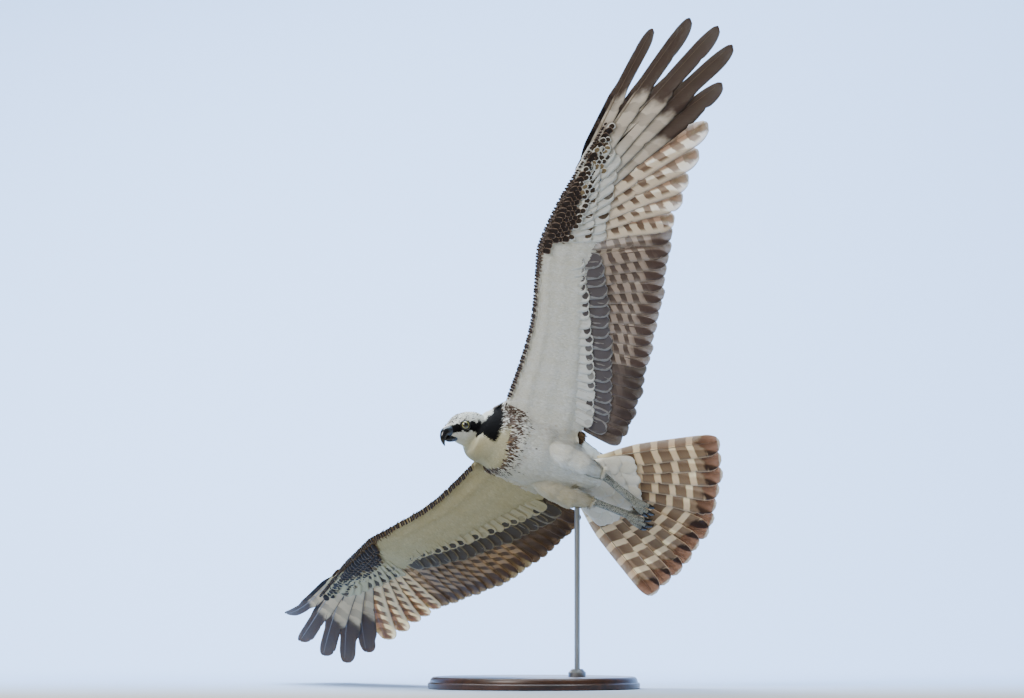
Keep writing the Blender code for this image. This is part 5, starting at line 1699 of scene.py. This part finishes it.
        spots = self.primary_places()
        outer, inner, barred = long_row(5, 64, 11), long_row(5, 48, 11), long_row(self.barred + 1, 40, 9)
        for i, (root, tip) in enumerate(spots):
            curl = self.pose.curls[i]
            if i < self.fingers:
                shape = {"finger": self.finger_widths[i], "finger_from": self.finger_from[i], "blunt": 0.84}
                blade = Blade(0.030 + 0.010 * min(i / 2, 1.0), 0.32 if i else 0.45, tip=0.003, **shape)
                outer.add(blade, root, tip, 0.0, self.tilt, curl=curl, bow=0.004, splits=4, shaft=0.0016)
            else:
                row = inner if i < self.inner_primaries else barred
                row.add(Blade(0.042), root, tip, 0.0, self.tilt, curl=curl, bow=0.004, shaft=0.0013)
        fingers = piece(outer, f"primaries_{word}_outer", "fingers", "plumage_brown")
        piece(inner, f"primaries_{word}_inner", "inner_primaries", "plumage_barred")
        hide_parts(f"wing_{word}_hand")
        self._scales()
        arm_spots = self.secondary_places()
        plain = long_row(self.secondaries, 40, 9)
        for i, (root, tip) in enumerate(arm_spots):
            row = barred if i < self.barred else plain
            row.add(Blade(0.036 - 0.003 * i / self.secondaries), root, tip, 0.0, self.tilt, bow=0.003, splits=4)
        arm = piece(barred, f"secondaries_{word}", "secondaries", "plumage_barred")
        inner_arm = piece(plain, f"secondaries_{word}_inner", "tertials", "plumage_barred")
        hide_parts(f"wing_{word}_arm")
        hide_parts(f"wing_{word}_arm")
        for name, hand, count, first, last, length, width, height, finish in self.covert_rows:
            places = self.row(spots if hand else arm_spots, count, first, last, length)
            self.coverts(name.format(word), places, width, height, f[finish])
        start, alula = HAND_FROM_OUT + 0.012, []
        for i, length in enumerate((0.088, 0.074, 0.060)):
            alula.append((np.array([0.036 - 0.006 * i, start]), np.array([0.036 - 0.011 * i, start + length])))
        self.coverts(f"alula_{word}", alula, 0.014, 0.0052, f["upper_brown"])


@dataclass
class Tail:
    """The fanned tail with its coverts."""

    under: Material
    upper: Material
    white: Material
    brown: Material
    quill: Material
    rng: Random
    feathers: int = 12
    half_angle: float = 32.3
    tip_reach: float = 0.305

    @staticmethod
    def place(ahead: Array, out: Array, high: Array) -> Array:
        """Carries points of the flat fan, and their heights over it, to the drooped and swung tail."""
        droop, swing = radians(12.0), radians(4.3)
        swung = ahead * cos(swing) + out * sin(swing)
        aside = out * cos(swing) - ahead * sin(swing)
        x = -0.1351 + swung * cos(droop) - high * sin(droop)
        z = -0.0039 + swung * sin(droop) + high * cos(droop)
        return np.stack([x, -0.0180 + aside + 0 * x, z], axis=-1)

    @staticmethod
    def core_rings(shrink: float) -> list[Array]:
        """Sections of the tail's fleshy root."""
        sections = ((0.050, 0.026, 0.024), (0.068, 0.037, 0.020), (0.090, 0.049, 0.014), (0.112, 0.058, 0.009))
        c, s = (np.sign(way) * np.abs(way) ** 0.8 for way in (np.cos(full_turn(24)), np.sin(full_turn(24))))
        rings = []
        for reach, half, thick in sections:
            wide = (half - shrink) * c
            back = reach * np.cos(wide / max(reach, half) * 0.9)
            rings.append(Tail.place(-back, wide, (thick / 2 - shrink) * s))
        return rings

    def fan_place(self, angle: float, side: int) -> Place:
        """The map of one feather's own plan, ahead towards its outer edge and out along its shaft, to the tail."""
        along = np.array([-cos(angle), sin(angle)])
        across = np.array([sin(angle), cos(angle)]) * side

        def mapped(ahead: Array, out: Array, high: Array) -> Array:
            """Points of the feather's plan on the tail."""
            spot = along * np.asarray(out)[..., None] + across * np.asarray(ahead)[..., None]
            return Tail.place(spot[..., 0], spot[..., 1], np.asarray(high))

        return mapped

    def build(self) -> None:
        """Makes the tail feathers and the coverts above and below."""
        fan = VaneSet(Tail.place, self.feathers, self.rng, 52, 11, 0.0005)
        blade, half = Blade(0.043, 0.40, 0.010, 0.42, 0.86, 0.010), self.feathers // 2
        for i, angle in enumerate(np.radians(np.linspace(self.half_angle, -self.half_angle, self.feathers))):
            side = 1 if angle > 0 else -1
            fan.place = self.fan_place(float(angle), side)
            height, tilt, longer = 0.0, 0.075, 0.0
            if i in (half - 1, half):
                height, tilt, longer = (0.0012 if side < 0 else 0.0024), 0.0, 0.004
            reach = self.tip_reach + self.rng.uniform(-0.004, 0.002) + longer
            fan.add(blade, (0.0, 0.066), (0.0, reach), height, tilt, 0.0014, bow=0.001, shaft=0.0014)
        tail = fan.build("rectrices", self.under, self.upper, self.quill, "plumage_barred")
        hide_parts("tail")
        tiers = ((13, 0.168, 0.0058), (11, 0.142, 0.0085), (9, 0.116, 0.0110), (7, 0.092, 0.0125))
        self._coverts("undertail", self.white, -1, tiers)
        self._coverts("uppertail", self.brown, 1, ((12, 0.158, 0.0062), (10, 0.130, 0.0090)))

    def _coverts(self, name: str, finish: Material, sign: int, tiers: Sequence[tuple[int, float, float]]) -> None:
        """Rows of soft coverts over or under the root of the tail."""
        row = VaneSet(Tail.place, sum(tier[0] for tier in tiers), self.rng, 14, 7)
        blade, long = Blade(0.026, 0.5, 0.010, 0.4, 0.6, 0.005), 0.062
        for count, reach, height in tiers:
            for k in range(count):
                side = 1 - 2 * (k + 0.5) / count
                row.place = self.fan_place(radians(self.half_angle) * side * 0.92, 1)
                end = reach - 0.020 * abs(side) + self.rng.uniform(-0.006, 0.006)
                high = sign * (height + 0.0009 * (k % 2))
                row.add(blade, (0.0, end - long), (0.0, end), high, 0.0, 0.0012 * sign, splits=1, shaft=0.0004)
        row.build(name, self.white, finish, self.quill, "plumage_white")


@dataclass
class Face:
    """Bill, cere, eyes and lids."""

    bill: Table = (
        (0.0195, -0.0010, 0.0112, 0.0108), (0.0262, -0.0002, 0.0102, 0.0104), (0.0328, -0.0006, 0.0088, 0.0096),
        (0.0385, -0.0032, 0.0070, 0.0084), (0.0432, -0.0084, 0.0052, 0.0066), (0.0454, -0.0146, 0.0035, 0.0047),
        (0.0452, -0.0203, 0.0019, 0.0027), (0.0437, -0.0250, 0.0006, 0.0007),
    )
    mandible: Table = (
        (0.0150, -0.0140, 0.0100, 0.0060), (0.0222, -0.0142, 0.0088, 0.0060), (0.0292, -0.0142, 0.0068, 0.0054),
        (0.0350, -0.0138, 0.0046, 0.0042), (0.0388, -0.0132, 0.0024, 0.0024),
    )
    eye_radius: float = 0.0096
    gaze: Point = (0.50, 0.86, 0.02)
    lids_face: Point = (0.45, 0.89, 0.05)

    def _horn(self, table: Table, sides: int = 36) -> tuple[Array, Array, Array]:
        """A finely drawn curved horn through a few sections, and how far along it each point is."""
        t, place = np.linspace(0, 1, 46), np.linspace(0, 1, len(table))
        x, z, wides, talls = (follow(list(zip(place, values)), t) for values in np.array(table).T)
        line, aside = np.stack([x, 0 * t, z], axis=-1), np.array([0.0, 1.0, 0.0])
        rise = -np.cross(unit(np.gradient(line, axis=0)), aside)
        turn = full_turn(sides)
        keel = 1 + 0.10 * np.maximum(0, np.sin(turn)) ** 6
        edge = 1 + 0.07 * sum(np.exp(-(((turn - at * pi) / 0.25) ** 2)) for at in (1.25, 1.75))
        rings = []
        for spot, up, wide, tall in zip(line, rise, wides, talls):
            across = np.outer(np.cos(turn) * wide * edge, aside)
            rings.append(spot + across + np.outer(np.sin(turn) * tall * keel, up))
        points, faces = closed(rings, line[0], line[-1])
        return HEAD.to_bird(points), faces, along_rings(t, sides)

    def build(self, horn: Material, eye: Material, lid: Material, pale: Material) -> None:
        """Makes the pieces of the face.

        Args:
            horn: The finish of the bill.
            eye: The finish of the eyeballs.
            lid: The finish of the dark lids.
            pale: The finish of the pale line under the eye.
        """
        for name, table in (("bill_upper", self.bill), ("bill_lower", self.mandible)):
            points, faces, along = self._horn(table)
            parts = MeshParts()
            parts.add(points, faces, carried={"along": along})
            piece = parts.build(name + "_horn", [horn], "bill_horn")
            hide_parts(name)
        self._nostrils(lid)
        for side in Side:
            self._eye(side, eye, lid, pale)

    def _nostrils(self, dark: Material) -> None:
        """The slit of each nostril, sunk in the cere."""
        parts, t = MeshParts(), np.linspace(-1, 1, 14)
        for side in Side:
            path = [0.0285 + 0.0024 * t, side.value * (0.0099 - 0.0006 * t), 0.0018 + 0.0006 * t]
            points, faces = tube(np.stack(path, axis=-1), 0.0009 * np.sqrt(1.02 - t * t), 10, 0.8)
            parts.add(HEAD.to_bird(points), faces)
        parts.build("nostrils", [dark], "bill_horn")

    def _facing(self, way: Point, side: Side) -> tuple[Array, Array, Array]:
        """A way out of one side of the head, with what lies right of it and above it."""
        out = unit(np.array(way) * np.array([1, side.value, 1]))
        right = unit(np.cross(out, [0.0, 0.0, 1.0]))
        return out, right, np.cross(right, out)

    def _eye(self, side: Side, eye: Material, lid: Material, pale: Material) -> None:
        """One eyeball with its lids and the pale line under it."""
        centre = np.array(EYE) * np.array([1, side.value, 1])
        gaze, right, up = self._facing(self.gaze, side)
        rows, sides = 40, 48
        polar, turn = np.linspace(0.0, pi, rows), full_turn(sides)
        bulge = 1 + 0.05 * np.exp(-((polar / 0.55) ** 2))
        round_it = np.cos(turn)[None, :, None] * right + np.sin(turn)[None, :, None] * up
        ball = np.sin(polar)[:, None, None] * round_it + np.cos(polar)[:, None, None] * gaze
        ball = ball * (self.eye_radius * bulge)[:, None, None] + centre
        parts = MeshParts()
        carried = {"gaze": np.repeat(np.cos(polar), sides)}
        parts.add(HEAD.to_bird(ball.reshape(-1, 3)), ring_faces(rows, sides), carried=carried)
        ball_piece = parts.build(f"eyeball_{side.word}", [eye], "eye_yellow")
        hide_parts(f"eye_{side.word}")
        out, right, up = self._facing(self.lids_face, side)
        middle = centre + out * (self.eye_radius * 0.56)

        def oval(
            name: str, t: Array, wide: float, tall: float, radii: Array, sides: int, finish: Material
        ) -> None:
            """A thin rim along part of an oval round the eye."""
            path = middle + np.outer(np.cos(t) * wide, right) + np.outer(np.sin(t) * tall, up)
            points, faces = tube(path, radii, sides)
            rim = MeshParts()
            rim.add(HEAD.to_bird(points), faces)
            rim.build(f"{name}_{side.word}", [finish], "leg_scale")

        oval("lids", np.linspace(0, 2 * pi, 60), 0.0080, 0.0072, np.full(60, 0.0017), 12, lid)
        middle = middle - out * 0.0006
        start = 1.12 if side is Side.LEFT else 1.38
        radii = 0.0005 * np.sin(np.linspace(0.1, 3.04, 30)) + 0.0001
        oval("lid_line", np.linspace(start, start + 0.50, 30) * pi, 0.0098, 0.0090, radii, 8, pale)


@dataclass
class Stand:
    """The turned base, its collar and the rod."""

    radius: float = 0.190
    tall: float = 0.022
    bead_from: float = 0.0122
    sides: int = 160

    def build(self, wood: Material, steel: Material) -> None:
        """Turns the base finely over its solid, and gives rod and collar their finish.

        Args:
            wood: The base's finish.
            steel: The finish of rod and collar.
        """
        r, z = self.radius, self.tall
        profile = [(0.0, 0.0), (r - 0.002, 0.0), (r, 0.0015), (r, 0.0095), (r - 0.0018, 0.0115)]
        profile.append((r - 0.0040, self.bead_from))
        for turn in np.linspace(0, pi / 2, 9):
            high = self.bead_from + (z - self.bead_from) * sin(turn)
            profile.append((r - 0.0120 + 0.0080 * cos(turn), high))
        profile += [(r - 0.030, z), (r - 0.032, z - 0.0008), (r - 0.034, z), (0.0, z)]
        turns = full_turn(self.sides)
        rings = [np.stack([r * np.cos(turns), r * np.sin(turns), np.full(self.sides, z)], -1) for r, z in profile]
        parts = MeshParts()
        parts.add(np.concatenate(rings), ring_faces(len(rings), self.sides))
        base = parts.build("base_turned", [wood], "base_wood", in_bird=False)
        base.data.set_sharp_from_angle(angle=radians(35))
        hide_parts("stand_base")
        for node in ("stand_rod", "stand_collar"):
            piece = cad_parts[node]
            piece.data.materials.clear()
            piece.data.materials.append(steel)


@dataclass(frozen=True)
class Studio:
    """Floor, backdrop, lights and camera."""

    camera_away: float = 30.0
    sensor: float = 36.0
    centre_x: float = -0.0391
    centre_z: float = 0.6081
    half_wide: float = 16.0
    bend_from: float = 2.0
    bend: float = 3.0
    sky: Colour = hue(236, 238, 240)
    lamps: tuple[tuple[str, Point, Point, float, float, Colour], ...] = (
        ("key", (-2.6, -3.6, 3.4), (0.0, 0.1, 0.55), 2.0, 205.0, (1.0, 0.99, 0.97)),
        ("backdrop", (0.0, 0.6, 5.0), (0.0, 5.0, 2.2), 4.0, 780.0, (0.74, 0.88, 1.0)),
        ("back_glow", (-0.8, 3.2, 3.2), (0.0, 0.1, 0.55), 2.2, 230.0, (1.0, 0.97, 0.92)),
    )

    def build(self) -> None:
        """Sets the stage."""
        self._stage()
        self._lights()
        self._camera()

    def _stage(self) -> None:
        """One pale sheet, flat under the stand and curving up far behind it."""
        profile = [(-60.0, 0.0), (self.bend_from, 0.0)]
        for turn in np.linspace(0, pi / 2, 17)[1:]:
            profile.append((self.bend_from + self.bend * sin(turn), self.bend - self.bend * cos(turn)))
        profile.append((self.bend_from + self.bend, 14.0))
        points = [(x, y, z) for y, z in profile for x in (-self.half_wide, self.half_wide)]
        faces = [(2 * i, 2 * i + 1, 2 * i + 3, 2 * i + 2) for i in range(len(profile) - 1)]
        mesh = bpy.data.meshes.new("sweep")
        mesh.from_pydata(points, [], faces)
        mesh.shade_smooth()
        mesh.materials.append(SweepFinish().make())
        sweep = put("sweep", mesh)

    def _lights(self) -> None:
        """A soft key from the upper left, one for the backdrop, and a glow from behind, under an even sky."""
        world = bpy.data.worlds.new("sky")
        world.use_nodes = True
        back = world.node_tree.nodes["Background"]
        back.inputs[0].default_value = (*self.sky, 1.0)
        back.inputs[1].default_value = 0.26
        bpy.context.scene.world = world
        for name, at, aim, size, watts, colour in self.lamps:
            data = bpy.data.lights.new(name, "AREA")
            data.size, data.energy, data.color = size, watts, colour
            lamp = put(name, data)
            lamp.location = at
            lamp.rotation_euler = (Vector(at) - Vector(aim)).to_track_quat("Z", "Y").to_euler()

    def _camera(self) -> None:
        """A level camera far off, whose frame is as wide as the photo's at the bird."""
        data = bpy.data.cameras.new("camera")
        data.sensor_width = self.sensor
        data.lens = self.sensor * self.camera_away / (PHOTO_WIDE / PIXELS_PER_METRE)
        data.clip_end = 200.0
        camera = put("camera", data)
        camera.location = (self.centre_x, BIRD.at[1] - self.camera_away, self.centre_z)
        camera.rotation_euler = (pi / 2, 0.0, 0.0)
        bpy.context.scene.camera = camera


PALETTE = Palette()
SPOTTED = {"spot_at": 0.60, "spot_half": 0.32, "spot_wide": 0.36, "fringe_wide": 0.04, "vary": -0.2, "glow": 0.1}
FLIGHTS = (
    FlightFinish(
        "fingers", hue(222, 212, 200), hue(104, 92, 86), hue(44, 38, 40), hue(102, 88, 83),
        hue(70, 60, 56), bars=7.0, bar_strength=0.5, inner_fade=0.5, bars_from=0.22, tip_from=0.45,
        tip_soft=0.10, glow=0.05, outer_from=-0.3, base=hue(206, 208, 206),
    ),
    # Painted light: the warm bright ground of the inner primaries is partly their own pale colour and partly light
    # shining through them from behind.
    FlightFinish(
        "inner_primaries", hue(255, 234, 210), hue(122, 98, 84), hue(170, 142, 124),
        hue(96, 78, 68), bar_level=0.05, inner_fade=1.0, fade_from=0.20, fade_over=0.14, bars_from=0.20,
        tip_from=0.84, shaft=0.58, glow=0.4, outer_from=0.30, tip_slant=0.30, base=hue(214, 212, 206),
    ),
    FlightFinish(
        "secondaries", hue(188, 173, 162), hue(106, 93, 88), hue(126, 110, 104),
        hue(112, 97, 92), fade_from=0.30, fade_over=0.20, tip_from=0.66, tip_soft=0.12, shaft=0.52,
        glow=0.25, outer_from=0.35, base=hue(174, 174, 172),
    ),
    FlightFinish(
        "tertials", hue(134, 122, 117), hue(96, 87, 84), hue(108, 97, 94), hue(100, 89, 86),
        hue(150, 138, 132), bars=7.0, bar_strength=0.5, tip_from=0.60, tip_soft=0.2, shaft=0.50, glow=0.1,
        outer_from=0.0, base=hue(110, 102, 98),
    ),
)
COVERTS = (
    CovertFinish(
        "greater_coverts", hue(172, 169, 168), hue(120, 115, 118), hue(180, 178, 176),
        spot_at=0.66, spot_half=0.33, spot_wide=0.43, spot_soft=0.10, fringe_wide=0.02, vary=-0.2,
    ),
    CovertFinish(
        "spotted_coverts", PALETTE.white, hue(112, 98, 84), PALETTE.white, spot_at=0.84, spot_half=0.20,
        spot_wide=0.30, fringe_wide=0.02, vary=0.40,
    ),
    CovertFinish(
        "median_coverts", PALETTE.white, hue(112, 106, 106), hue(210, 208, 204), spot_at=0.82,
        spot_half=0.14, spot_wide=0.28, fringe_wide=0.02, vary=0.35,
    ),
    CovertFinish(
        "dark_scales", hue(92, 76, 68), hue(62, 52, 50), hue(186, 168, 154), spot_at=0.46,
        spot_half=0.44, spot_wide=0.40, fringe_wide=0.12, vary=-0.2, glow=0.05,
    ),
    CovertFinish("spotted_scales", PALETTE.white, hue(80, 68, 60), hue(220, 216, 206), **SPOTTED),
    CovertFinish("ochre_scales", PALETTE.white, hue(146, 132, 108), hue(220, 214, 200), **SPOTTED),
)
UPPER = FlightFinish(
    "upper_brown", hue(78, 62, 52), hue(66, 52, 45), hue(62, 50, 44), hue(54, 43, 38),
    hue(168, 148, 122), bars=7.0, bar_strength=0.4, tip_from=0.9, glow=0.1, base=hue(78, 62, 52),
)
# Painted light: the warm bright cream of the tail's underside, between its bars and along its edges, is partly its
# own pale colour and partly light shining through the fan from behind.
TAIL_UNDER = FlightFinish(
    "tail_under", hue(246, 220, 184), hue(120, 96, 80), hue(206, 176, 146), hue(84, 66, 56),
    hue(226, 202, 176), bars=7.5, bar_level=-0.42, inner_fade=0.1, tip_from=0.80, tip_soft=0.04,
    shaft=0.40, glow=0.3, wander=0.12, slant=0.0, stagger=0.0, base=hue(240, 226, 196),
)
TAIL_UPPER = FlightFinish(
    "tail_upper", hue(120, 98, 80), hue(70, 56, 48), hue(80, 64, 54), hue(66, 52, 46),
    hue(200, 184, 160), bars=7.5, bar_level=0.0, tip_from=0.84, shaft=0.40, glow=0.2, wander=0.22,
    slant=-0.18, stagger=0.06, base=hue(84, 68, 56),
)


def wing_finishes(word: str, painted_shade: Colour, soft_painted_shade: Colour) -> dict[str, Material]:
    """The finishes of one wing's long feathers, by name.

    Args:
        word: The wing's side, as names say it.
        painted_shade: What the colours of the flight feathers are multiplied by, a painted shade on the wing that
            lies in shadow.
        soft_painted_shade: The same painted shade for the coverts.

    Returns:
        The finishes.
    """
    quill = HornFinish("quill", hue(112, 92, 78), hue(214, 204, 186), 0.1, 0.7, 0.4)
    every = [replace(finish, painted_shade=painted_shade) for finish in FLIGHTS]
    every += [replace(finish, painted_shade=soft_painted_shade) for finish in COVERTS]
    return {finish.name: replace(finish, name=f"{finish.name}_{word}").make() for finish in (*every, UPPER, quill)}


def main() -> None:
    """Builds the bird, its stand and the studio, piece by piece."""
    logging.basicConfig(level=logging.INFO, format="%(name)s %(message)s")
    rng = np.random.default_rng(SEED)
    # Painted shade: the right wing's finishes are darker olive copies, as if that wing lay in shadow.
    lit, shaded = wing_finishes("left", CLEAR, CLEAR), wing_finishes("right", SHADED_FLIGHT, SHADED_WHITE)
    Coat(Skin().build(), PALETTE, rng).dress(CoatFinish().make())
    Wing(LEFT_POSE, lit, rng).build()
    Wing(RIGHT_POSE, shaded, rng).build()
    pale = hue(242, 238, 226)
    soft_white = CovertFinish("soft_white", pale, hue(236, 230, 214), pale, vary=0.5).make()
    soft_brown = CovertFinish("soft_brown", PALETTE.dark_brown, PALETTE.brown, PALETTE.buff, vary=0.0).make()
    Tail(TAIL_UNDER.make(), TAIL_UPPER.make(), soft_white, soft_brown, lit["quill"], rng).build()
    scaled = ScaleFinish("leg_scales", hue(208, 207, 196), hue(100, 104, 100)).make()
    talon = HornFinish("talon_black", hue(22, 22, 24), hue(48, 48, 50), 0.0, 0.2, 0.16).make()
    for leg in (LEFT_LEG, RIGHT_LEG):
        leg.build(scaled, talon)
    bill = HornFinish("bill_black", hue(24, 25, 30), hue(72, 82, 96), 0.22, 0.42, 0.20).make()
    lid = ScaleFinish("dark_lid", hue(34, 32, 34), hue(16, 15, 16), 1500.0).make()
    pale_lid = ScaleFinish("pale_lid", hue(196, 198, 190), hue(150, 150, 146), 1500.0).make()
    Face().build(bill, EyeFinish().make(), lid, pale_lid)
    Stand().build(WoodFinish().make(), SteelFinish().make())
    Studio().build()


if __name__ == "__main__":
    main()
